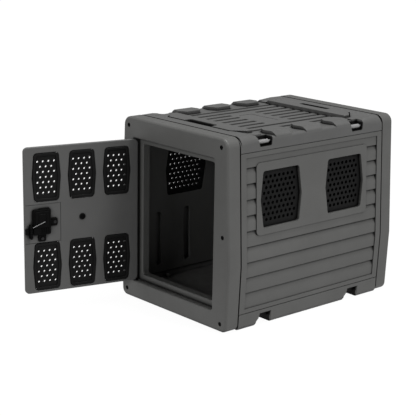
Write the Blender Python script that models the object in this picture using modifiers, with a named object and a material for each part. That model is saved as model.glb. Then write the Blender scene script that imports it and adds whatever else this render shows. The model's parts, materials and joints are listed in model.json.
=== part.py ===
"""Pet transport carrier: a hard crate with end frames, lap-sided walls, a ribbed roof and a hinged door.

Frame: metres, +X to the right of the door side, +Y to the back, +Z up.  The origin is on the floor,
below the middle of the base.  The front face of the front frame looks along -Y.
The door stands open at DOOR_REST_ANGLE from closed.
"""
import math

import bmesh
import bpy
from mathutils import Matrix, Vector

MM = 0.001
GAP = 0.3                     # clearance between touching pieces, mm
OBJECT_NAME = "pet_transport_carrier"

# --- driving dimensions, mm -------------------------------------------------------------------
LENGTH = 700.0                # front face to rear face
WIDTH = 505.0                 # at the widest line of the walls
BULGE_Z = 195.0               # height of the widest line
FRAME_TOP_Z = 573.0           # top of both end frames
FRAME_DEPTH = 47.0            # how far each end frame reaches along Y
LEAN_ABOVE = 0.0443           # inward lean of the walls above the widest line, mm per mm
LEAN_BELOW = 0.0461           # inward lean below it
BASE_TOP_Z = 48.0             # seam between base tray and walls
SKIRT_Z = 525.5               # seam between walls and roof skirt
TOP_CORNER_RADIUS = 36.0
BOTTOM_CORNER_RADIUS = 22.0
WALL = 10.0                   # wall thickness of the side panels

HALF_LENGTH = LENGTH / 2
FRONT_Y = -HALF_LENGTH
REAR_Y = HALF_LENGTH
FRONT_SEAM_Y = FRONT_Y + FRAME_DEPTH
REAR_SEAM_Y = REAR_Y - FRAME_DEPTH

# door opening in the front frame
OPENING_LEFT_X = -190.0        # the latch-side upright is the wider one
OPENING_RIGHT_X = 182.0
OPENING_BOTTOM_Z = 57.5
OPENING_TOP_Z = 511.0
OPENING_RADIUS = 5.0
REBATE_DEPTH = 22.0
FLANGE_WIDTH = 22.0           # stop flange behind the rebate, at the sides
FLANGE_HEIGHT = 19.0          # the same, at top and bottom
EDGE_ROUNDING = 7.0

# end-frame screws
SCREW_INSET = 26.0            # in from the outer edge of the frame
SCREW_HEIGHTS = (25.0, 286.0, 547.0)
SCREW_RADIUS = 5.0
SCREW_BORE_RADIUS = 5.6
SCREW_BORE_DEPTH = 12.0

# side walls
FIELD_INSET_Y = 21.0          # plain border between seam and siding
FIELD_BOTTOM_Z = 62.0
FIELD_TOP_Z = 511.0
LAP_PITCH = 46.4
LAP_LOWEST_Z = 110.3
LAP_COUNT = 9
LAP_DEPTH = 6.0               # recess at the step under each plank
LAP_FACE_DEPTH = 2.4          # recess of the planks' faces
LAP_SLOPE = 18.7              # height of the slanted top of each plank
PLATE_LENGTH = 470.0
PLATE_BOTTOM_Z = 277.0
PLATE_TOP_Z = 491.0
PLATE_RADIUS = 14.0
WINDOW_SPACING = 270.0
WINDOW_Z = 381.0
WINDOW_HEIGHT = 168.0
WINDOW_MID_WIDTH = 168.0
WINDOW_END_WIDTH = 146.0
WINDOW_RADIUS = 11.0
SIDE_MIDS_Y = {"left": 26.0, "right": -4.0}   # middle of each window plate
GRILLE_THICKNESS = 2.5

# roof cover
ROOF_TOP_Z = 575.0
DECK_Z = 563.5
ROOF_THICKNESS = 9.0
ROOF_SKIRT_THICKNESS = 9.0
DECK_HALF_WIDTH = 158.0
BAND_OUTER_Y = 254.0          # edge of the cross bands towards the end frames
BAND_INNER_Y = 196.0          # edge of the cross bands towards the deck
BAND_HALF_WIDTH = 163.0
LEDGE_Z = 573.0
SHOULDER_Z = 569.0
PAD_RANGES = ((-167.0, -88.0), (-49.0, 49.0), (88.0, 167.0))
PAD_OUTER_X = 212.0
GROOVE_PITCH = 36.5
GROOVE_WIDTH = 8.0
GROOVE_DEPTH = 3.5
GROOVE_COUNT = 9
PLAIN_PLATE_HALF_Y = 52.0
HANDHOLD_HALF_WIDTH = 62.0
HANDHOLD_OUTER_Y = 257.0
HANDHOLD_INNER_Y = 229.0
TIE_CENTRES_Y = (-203.0, 184.0)
TIE_HALF_LENGTH = 31.0
TIE_FLOOR_Z = 537.0
TIE_INNER_X = 206.0
TIE_BAR_RADIUS = 6.5
TIE_BAR_Z = 549.5
TIE_BAR_X = 226.0

# base tray
FLOOR_TOP_Z = 30.0
FLOOR_BOTTOM_Z = 22.0
BASE_WALL = 14.0
RUNNER_HALF_WIDTH = 30.0
BASE_NOTCHES_Y = (-198.0, 182.0)
BASE_NOTCH_HALF_LENGTH = 30.0
BASE_NOTCH_TOP_Z = 20.0

# rear panel
REAR_PANEL_Y = 322.0          # inner face
REAR_PANEL_THICKNESS = 8.0
REAR_WINDOW_SPACING = 176.0
REAR_WINDOW_MID_WIDTH = 136.0
REAR_WINDOW_END_WIDTH = 116.0

# door
DOOR_REST_ANGLE = 104.0       # degrees open from closed
DOOR_THICKNESS = 10.0
DOOR_GAP = 2.5
DOOR_AXIS_INSET = 5.0         # hinge axis in from the hinge-side edge
DOOR_EDGE_ROUNDING = 3.0
DOOR_RADIUS = 14.0
HINGE_PIN_RADIUS = 2.4
HINGE_PIN_IN_DOOR = 26.0
HINGE_PIN_IN_FRAME = 12.0
VENT_PITCH = 113.0
VENT_MID_WIDTH = 88.0
VENT_END_WIDTH = 76.0
VENT_HEIGHT = 145.5
VENT_RADIUS = 10.0
VENT_ROWS_Z = (141.5, 415.5)

# latch, in the closed door's own frame (X from the hinge axis, Y from the door's mid plane)
LATCH_MIN_X = 282.0
LATCH_MAX_X = 337.0
LATCH_BOTTOM_Z = 243.0
LATCH_TOP_Z = 320.0
LATCH_DEPTH = 9.0
BOLT_Z = 254.0
BOLT_HALF_HEIGHT = 8.0
BOLT_TIP_X = 361.5             # drawn back, level with the door's free edge
SPINDLE_X = 309.5
SPINDLE_Z = 292.0
SPINDLE_RADIUS = 5.0

HALF_WIDTH = WIDTH / 2
DOOR_WIDTH = OPENING_RIGHT_X - OPENING_LEFT_X - 2 * DOOR_GAP
DOOR_BOTTOM_Z = OPENING_BOTTOM_Z + DOOR_GAP
DOOR_TOP_Z = OPENING_TOP_Z - DOOR_GAP
DOOR_AXIS_X = OPENING_LEFT_X + DOOR_GAP + DOOR_AXIS_INSET
DOOR_AXIS_Y = FRONT_Y + DOOR_THICKNESS / 2
DOOR_MID_X = DOOR_WIDTH / 2 - DOOR_AXIS_INSET
DOOR_MID_Z = (DOOR_BOTTOM_Z + DOOR_TOP_Z) / 2


# --- scene, materials -------------------------------------------------------------------------
def empty_scene():
    for item in list(bpy.data.objects):
        bpy.data.objects.remove(item, do_unlink=True)
    for collection in list(bpy.data.collections):
        bpy.data.collections.remove(collection)


def new_collection(name):
    collection = bpy.data.collections.new(name)
    bpy.context.scene.collection.children.link(collection)
    return collection


def make_material(name, colour, roughness, metallic=0.0):
    material = bpy.data.materials.new(name)
    material.use_nodes = True
    shader = material.node_tree.nodes["Principled BSDF"]
    shader.inputs["Base Color"].default_value = (*colour, 1.0)
    shader.inputs["Roughness"].default_value = roughness
    shader.inputs["Metallic"].default_value = metallic
    material.diffuse_color = (*colour, 1.0)
    return material


empty_scene()
PARTS = new_collection(OBJECT_NAME)
CUTTERS = new_collection("cutters")
SHELL_GREY = make_material("shell_grey_plastic", (0.105, 0.105, 0.10), 0.55)
ROOF_GREY = make_material("roof_grey_plastic", (0.115, 0.115, 0.112), 0.55)
DOOR_GREY = make_material("door_grey_plastic", (0.10, 0.10, 0.10), 0.55)
GRILLE_BLACK = make_material("grille_black_plastic", (0.012, 0.012, 0.012), 0.45)
LATCH_BLACK = make_material("latch_black_plastic", (0.010, 0.010, 0.010), 0.4)
SCREW_BLACK = make_material("screw_black_steel", (0.02, 0.02, 0.02), 0.4, 0.8)
BAR_STEEL = make_material("bar_bright_steel", (0.45, 0.45, 0.45), 0.35, 1.0)


# --- outlines, mm -----------------------------------------------------------------------------
def half_width_at(z):
    """Half width of the carrier at height z: widest at BULGE_Z, leaning in above and below."""
    lean = LEAN_ABOVE if z > BULGE_Z else LEAN_BELOW
    return HALF_WIDTH - lean * abs(z - BULGE_Z)


def rounded(points, radii, steps=4):
    """Closed outline through points, each corner rounded by its radius."""
    outline = []
    count = len(points)
    for index, point in enumerate(points):
        corner = Vector(point)
        before = (Vector(points[index - 1]) - corner).normalized()
        after = (Vector(points[(index + 1) % count]) - corner).normalized()
        radius = radii[index]
        turn = math.pi - before.angle(after)
        if radius <= 0 or turn < 0.02:
            outline.append(tuple(corner))
            continue
        setback = radius * math.tan(turn / 2)
        start = corner + before * setback
        centre = corner + (before + after).normalized() * (radius / math.cos(turn / 2))
        first = start - centre
        side = 1 if before.cross(after) < 0 else -1
        for step in range(steps + 1):
            swing = Matrix.Rotation(side * turn * step / steps, 2)
            outline.append(tuple(centre + swing @ first))
    return outline


def rectangle(x0, z0, x1, z1, radius=0.0, steps=4):
    return rounded([(x0, z0), (x1, z0), (x1, z1), (x0, z1)], [radius] * 4, steps)


def hexagon(mid_x, mid_z, mid_width, end_width, height, radius):
    """Upright hexagon, widest at mid height, with flat top and bottom."""
    points = [
        (mid_x - end_width / 2, mid_z - height / 2),
        (mid_x + end_width / 2, mid_z - height / 2),
        (mid_x + mid_width / 2, mid_z),
        (mid_x + end_width / 2, mid_z + height / 2),
        (mid_x - end_width / 2, mid_z + height / 2),
        (mid_x - mid_width / 2, mid_z),
    ]
    return rounded(points, [radius, radius, 0, radius, radius, 0], 2)


# --- solids -----------------------------------------------------------------------------------
ALONG_Y = Matrix.Rotation(math.pi / 2, 4, "X")                       # outline (x, z)
ALONG_X = Matrix.Rotation(math.pi / 2, 4, "Z") @ ALONG_Y             # outline (y, z)


def prism(name, loops, start, end, turn=ALONG_Y, material=None, cutter=False):
    """Solid of a flat outline (with holes) between two stations along its normal, all in mm."""
    curve = bpy.data.curves.new(name, "CURVE")
    curve.dimensions = "2D"
    curve.fill_mode = "BOTH"
    curve.extrude = abs(end - start) / 2 * MM
    for loop in loops:
        spline = curve.splines.new("POLY")
        spline.points.add(len(loop) - 1)
        for point, (u, v) in zip(spline.points, loop):
            point.co = (u * MM, v * MM, 0.0, 1.0)
        spline.use_cyclic_u = True
    draft = bpy.data.objects.new(name + "_draft", curve)
    PARTS.objects.link(draft)
    normal = turn @ Vector((0, 0, 1))
    along = 1 if normal.x + normal.y + normal.z > 0 else -1
    offset = normal * along * (start + end) / 2 * MM
    draft.matrix_world = Matrix.Translation(offset) @ turn
    bpy.context.view_layer.update()
    graph = bpy.context.evaluated_depsgraph_get()
    mesh = bpy.data.meshes.new_from_object(draft.evaluated_get(graph))
    work = bmesh.new()
    work.from_mesh(mesh)
    bmesh.ops.remove_doubles(work, verts=work.verts, dist=1e-6)
    work.transform(draft.matrix_world)
    bmesh.ops.recalc_face_normals(work, faces=work.faces)
    if work.calc_volume(signed=True) < 0:
        bmesh.ops.reverse_faces(work, faces=work.faces)
    work.to_mesh(mesh)
    work.free()
    bpy.data.objects.remove(draft)
    bpy.data.curves.remove(curve)
    mesh.name = name
    return finish_object(name, mesh, material, cutter)


def finish_object(name, mesh, material=None, cutter=False):
    result = bpy.data.objects.new(name, mesh)
    if cutter:
        CUTTERS.objects.link(result)
        result.hide_render = True
        result.display_type = "WIRE"
        return result
    PARTS.objects.link(result)
    mesh.materials.clear()
    mesh.materials.append(material)
    return result


def block(name, low, high, material=None, cutter=False):
    """Box from its lowest to its highest corner, mm."""
    work = bmesh.new()
    bmesh.ops.create_cube(work, size=1.0)
    size = [(b - a) * MM for a, b in zip(low, high)]
    middle = [(a + b) / 2 * MM for a, b in zip(low, high)]
    bmesh.ops.scale(work, vec=size, verts=work.verts)
    bmesh.ops.translate(work, vec=middle, verts=work.verts)
    mesh = bpy.data.meshes.new(name)
    work.to_mesh(mesh)
    work.free()
    return finish_object(name, mesh, material, cutter)


def rod(name, start, end, radius, material=None, cutter=False, segments=16):
    """Cylinder between two points, mm."""
    first = Vector(start) * MM
    last = Vector(end) * MM
    axis = last - first
    work = bmesh.new()
    bmesh.ops.create_cone(
        work, cap_ends=True, segments=segments,
        radius1=radius * MM, radius2=radius * MM, depth=axis.length,
    )
    place = Matrix.Translation((first + last) / 2) @ axis.to_track_quat("Z", "X").to_matrix().to_4x4()
    work.transform(place)
    mesh = bpy.data.meshes.new(name)
    work.to_mesh(mesh)
    work.free()
    return finish_object(name, mesh, material, cutter)


def boolean(target, tool, operation):
    modifier = target.modifiers.new(tool.name, "BOOLEAN")
    modifier.operation = operation
    modifier.solver = "EXACT"
    modifier.object = tool
    return target


def cut(target, *tools):
    for tool in tools:
        boolean(target, tool, "DIFFERENCE")
    return target


def join(target, *tools):
    for tool in tools:
        boolean(target, tool, "UNION")
    return target


def settle(piece):
    """Apply a piece's modifiers, so that it can be turned with the door as one plain mesh."""
    graph = bpy.context.evaluated_depsgraph_get()
    mesh = bpy.data.meshes.new_from_object(piece.evaluated_get(graph))
    piece.modifiers.clear()
    piece.data = mesh
    return piece


def bevel_edges(target, width, segments=1, angle=35.0):
    modifier = target.modifiers.new("rounded_edges", "BEVEL")
    modifier.width = width * MM
    modifier.segments = segments
    modifier.limit_method = "ANGLE"
    modifier.angle_limit = math.radians(angle)
    modifier.harden_normals = False
    return target


# --- end frames -------------------------------------------------------------------------------
def frame_outline(steps=5):
    corners = [
        (-half_width_at(0), 0.0), (half_width_at(0), 0.0),
        (HALF_WIDTH, BULGE_Z), (half_width_at(FRAME_TOP_Z), FRAME_TOP_Z),
        (-half_width_at(FRAME_TOP_Z), FRAME_TOP_Z), (-HALF_WIDTH, BULGE_Z),
    ]
    low, high = BOTTOM_CORNER_RADIUS, TOP_CORNER_RADIUS
    return rounded(corners, [low, low, 0, high, high, 0], steps)


def opening_outline(margin_x=0.0, margin_z=0.0):
    return rectangle(
        OPENING_LEFT_X + margin_x, OPENING_BOTTOM_Z + margin_z,
        OPENING_RIGHT_X - margin_x, OPENING_TOP_Z - margin_z, OPENING_RADIUS,
    )


def screw_places():
    """(x, z) of the six screws of an end frame."""
    for z in SCREW_HEIGHTS:
        x = half_width_at(z) - SCREW_INSET
        yield -x, z
        yield x, z


def frame_ring(name, outer_y, inner_y):
    """End frame: an outline ring with its outer face at outer_y, its edge rounded there."""
    flip = 1 if inner_y > outer_y else -1
    ring = prism(name, [frame_outline()], outer_y, inner_y, material=SHELL_GREY)
    bevel = ring.modifiers.new("rounded_face", "BEVEL")
    bevel.width = EDGE_ROUNDING * MM
    bevel.segments = 2
    bevel.limit_method = "VGROUP"
    group = ring.vertex_groups.new(name="outer_face")
    rim = [v.index for v in ring.data.vertices if abs(v.co.y - outer_y * MM) < 1e-6]
    group.add(rim, 1.0, "REPLACE")
    bevel.vertex_group = "outer_face"
    rebate_end = outer_y + flip * REBATE_DEPTH
    rebate = prism(name + "_rebate", [opening_outline()], outer_y - flip * 5, rebate_end, cutter=True)
    through = prism(
        name + "_through", [opening_outline(FLANGE_WIDTH, FLANGE_HEIGHT)],
        rebate_end - flip, inner_y + flip * 5, cutter=True,
    )
    cut(ring, rebate, through)
    for index, (x, z) in enumerate(screw_places(), 1):
        bore = rod(
            f"{name}_bore_{index}", (x, outer_y - flip * 5, z),
            (x, outer_y + flip * SCREW_BORE_DEPTH, z), SCREW_BORE_RADIUS, cutter=True,
        )
        cut(ring, bore)
    return ring


def frame_screws(prefix, outer_y, flip):
    """Six socket screws sunk in an end frame."""
    for index, (x, z) in enumerate(screw_places(), 1):
        head_y = outer_y + flip * 4.0
        foot_y = outer_y + flip * (SCREW_BORE_DEPTH - GAP)
        screw = rod(f"{prefix}_screw_{index}", (x, head_y, z), (x, foot_y, z), SCREW_RADIUS, SCREW_BLACK)
        socket = rod(
            f"{prefix}_screw_socket_{index}", (x, head_y - flip * 2, z), (x, head_y + flip * 3, z),
            2.6, cutter=True, segments=6,
        )
        cut(screw, socket)


def front_frame():
    ring = frame_ring("front_frame", FRONT_Y, FRONT_SEAM_Y - GAP / 2)
    for place, z0, z1 in (
        ("lower", DOOR_BOTTOM_Z - HINGE_PIN_IN_FRAME - 1, DOOR_BOTTOM_Z + 1),
        ("upper", DOOR_TOP_Z - 1, DOOR_TOP_Z + HINGE_PIN_IN_FRAME + 1),
    ):
        socket = rod(
            f"hinge_socket_{place}", (DOOR_AXIS_X, DOOR_AXIS_Y, z0), (DOOR_AXIS_X, DOOR_AXIS_Y, z1),
            HINGE_PIN_RADIUS + GAP, cutter=True, segments=12,
        )
        cut(ring, socket)
    plate_seat = block(
        "strike_seat", (OPENING_RIGHT_X - 1, FRONT_Y + 8.5, BOLT_Z - 24),
        (OPENING_RIGHT_X + 2.0, FRONT_Y + 22, BOLT_Z + 24), cutter=True,
    )
    bolt_pocket = block(
        "bolt_pocket", (OPENING_RIGHT_X + 1, FRONT_Y + 9.5, BOLT_Z - BOLT_HALF_HEIGHT - 3),
        (OPENING_RIGHT_X + 14, FRONT_Y + 20.5, BOLT_Z + BOLT_HALF_HEIGHT + 3), cutter=True,
    )
    flange_y = FRONT_Y + REBATE_DEPTH
    lever_relief = block(
        "lever_relief", (OPENING_RIGHT_X - FLANGE_WIDTH - 1, flange_y - 1, BOLT_Z - 26),
        (OPENING_RIGHT_X - 4, flange_y + 4, BOLT_Z + 30), cutter=True,
    )
    return cut(ring, plate_seat, bolt_pocket, lever_relief)


def strike_plate():
    """Keeper plate let into the latch-side wall of the rebate."""
    x0 = OPENING_RIGHT_X + 0.2
    outline = rectangle(FRONT_Y + 8.8, BOLT_Z - 23.5, FRONT_Y + 21.5, BOLT_Z + 23.5)
    hole = rectangle(
        FRONT_Y + 9.8, BOLT_Z - BOLT_HALF_HEIGHT - 2, FRONT_Y + 19.5, BOLT_Z + BOLT_HALF_HEIGHT + 2,
    )
    return prism("strike_plate", [outline, hole], x0, x0 + 1.5, ALONG_X, SCREW_BLACK)


def rear_panel():
    """Wall that closes the rear frame, with two hexagonal windows."""
    outline = rectangle(
        OPENING_LEFT_X + GAP, OPENING_BOTTOM_Z + GAP,
        OPENING_RIGHT_X - GAP, OPENING_TOP_Z - GAP, OPENING_RADIUS - GAP,
    )
    windows = [rear_window(sign) for sign in (-1, 1)]
    y0 = REAR_Y - REBATE_DEPTH + GAP
    return prism("rear_panel", [outline, *windows], y0, y0 + REAR_PANEL_THICKNESS, material=SHELL_GREY)


def rear_window(sign, margin=0.0):
    return hexagon(
        sign * REAR_WINDOW_SPACING / 2, WINDOW_Z - 20, REAR_WINDOW_MID_WIDTH - 2 * margin,
        REAR_WINDOW_END_WIDTH - 2 * margin, WINDOW_HEIGHT - 2 * margin, WINDOW_RADIUS - margin / 2,
    )


def rear_grilles():
    y0 = REAR_Y - REBATE_DEPTH + GAP + 1.5
    for side, sign in (("left", -1), ("right", 1)):
        prism(
            f"rear_grille_{side}", [rear_window(sign, GAP)], y0, y0 + GRILLE_THICKNESS,
            material=GRILLE_BLACK,
        )


# --- side walls -------------------------------------------------------------------------------
def wall_section(sign, z0, z1, inset_out, inset_in):
    """Cross-section (x, z) of a strip of wall that follows the bulge."""
    heights = [z0, BULGE_Z, z1] if z0 < BULGE_Z < z1 else [z0, z1]
    outer = [(sign * (half_width_at(z) - inset_out), z) for z in heights]
    inner = [(sign * (half_width_at(z) - inset_in), z) for z in reversed(heights)]
    return outer + inner


def lap_section(sign):
    """Cross-section of the material that is missing in front of the lap boards."""
    outside = HALF_WIDTH + 12
    points = [(sign * outside, FIELD_BOTTOM_Z)]
    steps = [LAP_LOWEST_Z + LAP_PITCH * index for index in range(LAP_COUNT)]
    points.append((sign * (half_width_at(FIELD_BOTTOM_Z) - LAP_FACE_DEPTH), FIELD_BOTTOM_Z))
    for step_z in steps:
        crease_z = step_z - LAP_SLOPE
        points.append((sign * (half_width_at(crease_z) - LAP_FACE_DEPTH), crease_z))
        points.append((sign * (half_width_at(step_z) - LAP_DEPTH), step_z))
        points.append((sign * (half_width_at(step_z + 0.8) - LAP_FACE_DEPTH), step_z + 0.8))
    points.append((sign * (half_width_at(FIELD_TOP_Z) - LAP_FACE_DEPTH), FIELD_TOP_Z))
    points.append((sign * outside, FIELD_TOP_Z))
    return points


def side_window(side, sign_y, margin=0.0):
    return hexagon(
        SIDE_MIDS_Y[side] + sign_y * WINDOW_SPACING / 2, WINDOW_Z, WINDOW_MID_WIDTH - 2 * margin,
        WINDOW_END_WIDTH - 2 * margin, WINDOW_HEIGHT - 2 * margin, WINDOW_RADIUS - margin / 2,
    )


def side_panel(side, sign):
    """Side wall: lap boards round a flat plate with two hexagonal windows."""
    y0 = FRONT_SEAM_Y + GAP / 2
    y1 = REAR_SEAM_Y - GAP / 2
    section = wall_section(sign, BASE_TOP_Z + GAP, SKIRT_Z - GAP, 0, WALL)
    panel = prism(f"{side}_side_panel", [section], y0, y1, material=SHELL_GREY)
    laps = prism(
        f"{side}_laps", [lap_section(sign)], y0 + FIELD_INSET_Y, y1 - FIELD_INSET_Y, cutter=True,
    )
    low, high = sorted((sign * (HALF_WIDTH - 40), sign * (HALF_WIDTH + 40)))
    plate_outline = rectangle(
        SIDE_MIDS_Y[side] - PLATE_LENGTH / 2, PLATE_BOTTOM_Z,
        SIDE_MIDS_Y[side] + PLATE_LENGTH / 2, PLATE_TOP_Z, PLATE_RADIUS, 3,
    )
    plate = prism(f"{side}_plate", [plate_outline], low, high, ALONG_X, cutter=True)
    cut(laps, plate)
    cut(panel, laps)
    for place, sign_y in (("front", -1), ("rear", 1)):
        window = prism(
            f"{side}_window_{place}", [side_window(side, sign_y)], low, high, ALONG_X, cutter=True,
        )
        cut(panel, window)
    return panel


def side_grilles(side, sign):
    """Perforated plates set back in the windows; the wall leans, so each plate leans with it."""
    lean = math.atan(LEAN_ABOVE)
    for place, sign_y in (("front", -1), ("rear", 1)):
        outline = side_window(side, sign_y, 0.6)
        x0 = sign * (half_width_at(WINDOW_Z) - WALL + 1.5)
        x1 = x0 + sign * GRILLE_THICKNESS
        grille = prism(
            f"{side}_grille_{place}", [outline], min(x0, x1), max(x0, x1), ALONG_X,
            material=GRILLE_BLACK,
        )
        pivot = Vector((x0, 0, WINDOW_Z)) * MM
        tilt = Matrix.Translation(pivot) @ Matrix.Rotation(-sign * lean, 4, "Y")
        grille.data.transform(tilt @ Matrix.Translation(-pivot))


# --- roof cover -------------------------------------------------------------------------------
def roof_section():
    """Closed cross-section (x, z) of the cover: skirts, rounded shoulders and the thick top."""
    outer = [
        (half_width_at(SKIRT_Z), SKIRT_Z),
        (half_width_at(SHOULDER_Z), SHOULDER_Z),
        (BAND_HALF_WIDTH + 6, SHOULDER_Z), (BAND_HALF_WIDTH, ROOF_TOP_Z),
        (-BAND_HALF_WIDTH, ROOF_TOP_Z), (-BAND_HALF_WIDTH - 6, SHOULDER_Z),
        (-half_width_at(SHOULDER_Z), SHOULDER_Z),
        (-half_width_at(SKIRT_Z), SKIRT_Z),
    ]
    inner_x = half_width_at(SKIRT_Z) - ROOF_SKIRT_THICKNESS
    under_z = DECK_Z - ROOF_THICKNESS
    inner = [
        (-inner_x, SKIRT_Z), (-inner_x + 6, under_z - 16), (-inner_x + 22, under_z),
        (inner_x - 22, under_z), (inner_x - 6, under_z - 16), (inner_x, SKIRT_Z),
    ]
    radii = [0, 28, 0, 0, 0, 0, 28, 0] + [0] * 6
    return rounded(outer + inner, radii, 5)


def roof_cover():
    """Roof: cross bands at both ends, a grooved deck between, edge pads and hand-holds."""
    y0 = FRONT_SEAM_Y + GAP / 2
    y1 = REAR_SEAM_Y - GAP / 2
    roof = prism("top_cover", [roof_section()], y0, y1, material=ROOF_GREY)
    for side, sign in (("left", -1), ("right", 1)):
        for index, (pad_y0, pad_y1) in enumerate(PAD_RANGES, 1):
            ramp = 8.0
            outline = [
                (pad_y0, SHOULDER_Z - 4), (pad_y1, SHOULDER_Z - 4),
                (pad_y1 - ramp, ROOF_TOP_Z), (pad_y0 + ramp, ROOF_TOP_Z),
            ]
            low, high = sorted((sign * (DECK_HALF_WIDTH + 5), sign * PAD_OUTER_X))
            join(roof, prism(f"{side}_pad_{index}", [outline], low, high, ALONG_X, cutter=True))
    deck = block(
        "deck_recess", (-DECK_HALF_WIDTH, -BAND_INNER_Y, DECK_Z),
        (DECK_HALF_WIDTH, BAND_INNER_Y, ROOF_TOP_Z + 10), cutter=True,
    )
    cut(roof, deck)
    for place, sign in (("front", -1), ("rear", 1)):
        low, high = sorted((sign * BAND_OUTER_Y, sign * (HALF_LENGTH + 5)))
        ledge = block(f"{place}_ledge", (-HALF_WIDTH, low, LEDGE_Z), (HALF_WIDTH, high, 600), cutter=True)
        cut(roof, ledge)
        low, high = sorted((sign * HANDHOLD_INNER_Y, sign * HANDHOLD_OUTER_Y))
        outline = rectangle(-HANDHOLD_HALF_WIDTH, low, HANDHOLD_HALF_WIDTH, high, 10.0, 3)
        pocket = prism(
            f"{place}_handhold", [outline], DECK_Z - 30, ROOF_TOP_Z + 10,
            Matrix.Identity(4), cutter=True,
        )
        cut(roof, pocket)
    cut_grooves(roof)
    cut_tie_pockets(roof)
    return roof


def cut_grooves(roof):
    """Front-to-back grooves; the middle five stop at the plain plate."""
    reach = (GROOVE_COUNT - 1) // 2
    for index in range(-reach, reach + 1):
        x = index * GROOVE_PITCH
        low_x, high_x = x - GROOVE_WIDTH / 2, x + GROOVE_WIDTH / 2
        runs = [(-BAND_INNER_Y + 1, BAND_INNER_Y - 1)]
        if abs(index) < reach:
            runs = [(-BAND_INNER_Y + 1, -PLAIN_PLATE_HALF_Y), (PLAIN_PLATE_HALF_Y, BAND_INNER_Y - 1)]
        for run, (low_y, high_y) in enumerate(runs, 1):
            groove = block(
                f"groove_{index + reach}_{run}", (low_x, low_y, DECK_Z - GROOVE_DEPTH),
                (high_x, high_y, DECK_Z + 5), cutter=True,
            )
            cut(roof, groove)


def cut_tie_pockets(roof):
    """Four side pockets, each in a thickened well so that it stays closed to the cabin."""
    well_reach = TIE_HALF_LENGTH + 7
    for side, sign in (("left", -1), ("right", 1)):
        for place, mid_y in zip(("front", "rear"), TIE_CENTRES_Y):
            low, high = sorted((sign * (TIE_INNER_X - 7), sign * (HALF_WIDTH - 21.5)))
            well = block(
                f"{side}_{place}_tie_well", (low, mid_y - well_reach, TIE_FLOOR_Z - 6),
                (high, mid_y + well_reach, DECK_Z - 3.5), cutter=True,
            )
            join(roof, well)
            outline = [
                (mid_y - TIE_HALF_LENGTH, TIE_FLOOR_Z), (mid_y + TIE_HALF_LENGTH, TIE_FLOOR_Z),
                (mid_y + TIE_HALF_LENGTH, 600.0), (mid_y - TIE_HALF_LENGTH, 600.0),
            ]
            low, high = sorted((sign * TIE_INNER_X, sign * (HALF_WIDTH + 10)))
            pocket = prism(f"{side}_{place}_tie_pocket", [outline], low, high, ALONG_X, cutter=True)
            cut(roof, pocket)


def tie_bars():
    """Steel bars across the four tie-down pockets."""
    for side, sign in (("left", -1), ("right", 1)):
        for place, mid_y in zip(("front", "rear"), TIE_CENTRES_Y):
            reach = TIE_HALF_LENGTH - GAP
            rod(
                f"tie_bar_{side}_{place}", (sign * TIE_BAR_X, mid_y - reach, TIE_BAR_Z),
                (sign * TIE_BAR_X, mid_y + reach, TIE_BAR_Z), TIE_BAR_RADIUS, BAR_STEEL,
            )


# --- base tray --------------------------------------------------------------------------------
def base_section():
    """Closed cross-section of the tray: side walls and a middle runner joined by the floor."""
    foot = half_width_at(0) - 6
    top = half_width_at(BASE_TOP_Z)
    return [
        (foot, 0), (half_width_at(8), 8), (top, BASE_TOP_Z),
        (top - BASE_WALL, BASE_TOP_Z), (top - BASE_WALL - 6, FLOOR_TOP_Z),
        (-top + BASE_WALL + 6, FLOOR_TOP_Z), (-top + BASE_WALL, BASE_TOP_Z),
        (-top, BASE_TOP_Z), (-half_width_at(8), 8), (-foot, 0),
        (-foot + BASE_WALL, 0), (-foot + BASE_WALL, FLOOR_BOTTOM_Z),
        (-RUNNER_HALF_WIDTH, FLOOR_BOTTOM_Z), (-RUNNER_HALF_WIDTH, 0),
        (RUNNER_HALF_WIDTH, 0), (RUNNER_HALF_WIDTH, FLOOR_BOTTOM_Z),
        (foot - BASE_WALL, FLOOR_BOTTOM_Z), (foot - BASE_WALL, 0),
    ]


def base_tray():
    y0 = FRONT_SEAM_Y + GAP / 2
    y1 = REAR_SEAM_Y - GAP / 2
    tray = prism("base_tray", [base_section()], y0, y1, material=SHELL_GREY)
    for place, mid_y in zip(("front", "rear"), BASE_NOTCHES_Y):
        half = BASE_NOTCH_HALF_LENGTH
        outline = [
            (mid_y - half - 4, -5), (mid_y + half + 4, -5), (mid_y + half, BASE_NOTCH_TOP_Z - 8),
            (mid_y + half - 8, BASE_NOTCH_TOP_Z), (mid_y - half + 8, BASE_NOTCH_TOP_Z),
            (mid_y - half, BASE_NOTCH_TOP_Z - 8),
        ]
        notch = prism(
            f"base_notch_{place}", [outline], -HALF_WIDTH - 5, HALF_WIDTH + 5, ALONG_X, cutter=True,
        )
        cut(tray, notch)
    return tray


# --- door -------------------------------------------------------------------------------------
def door_axis():
    """Empty on the hinge axis; the door's pieces hang from it in the closed door's frame."""
    axis = bpy.data.objects.new("door_axis", None)
    PARTS.objects.link(axis)
    axis.location = (DOOR_AXIS_X * MM, DOOR_AXIS_Y * MM, 0.0)
    axis.rotation_euler = (0.0, 0.0, -math.radians(DOOR_REST_ANGLE))
    return axis


def hang(piece):
    settle(piece)
    piece.parent = DOOR_AXIS


def vent_places():
    """(name, x, z) of the six door vents, from the hinge side outwards."""
    for row, z in zip(("lower", "upper"), VENT_ROWS_Z):
        for column in range(3):
            yield f"{row}_{column + 1}", DOOR_MID_X + (column - 1) * VENT_PITCH, z


def vent_outline(x, z, margin=0.0):
    return hexagon(
        x, z, VENT_MID_WIDTH - 2 * margin, VENT_END_WIDTH - 2 * margin, VENT_HEIGHT - 2 * margin,
        VENT_RADIUS - margin / 2,
    )


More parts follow.
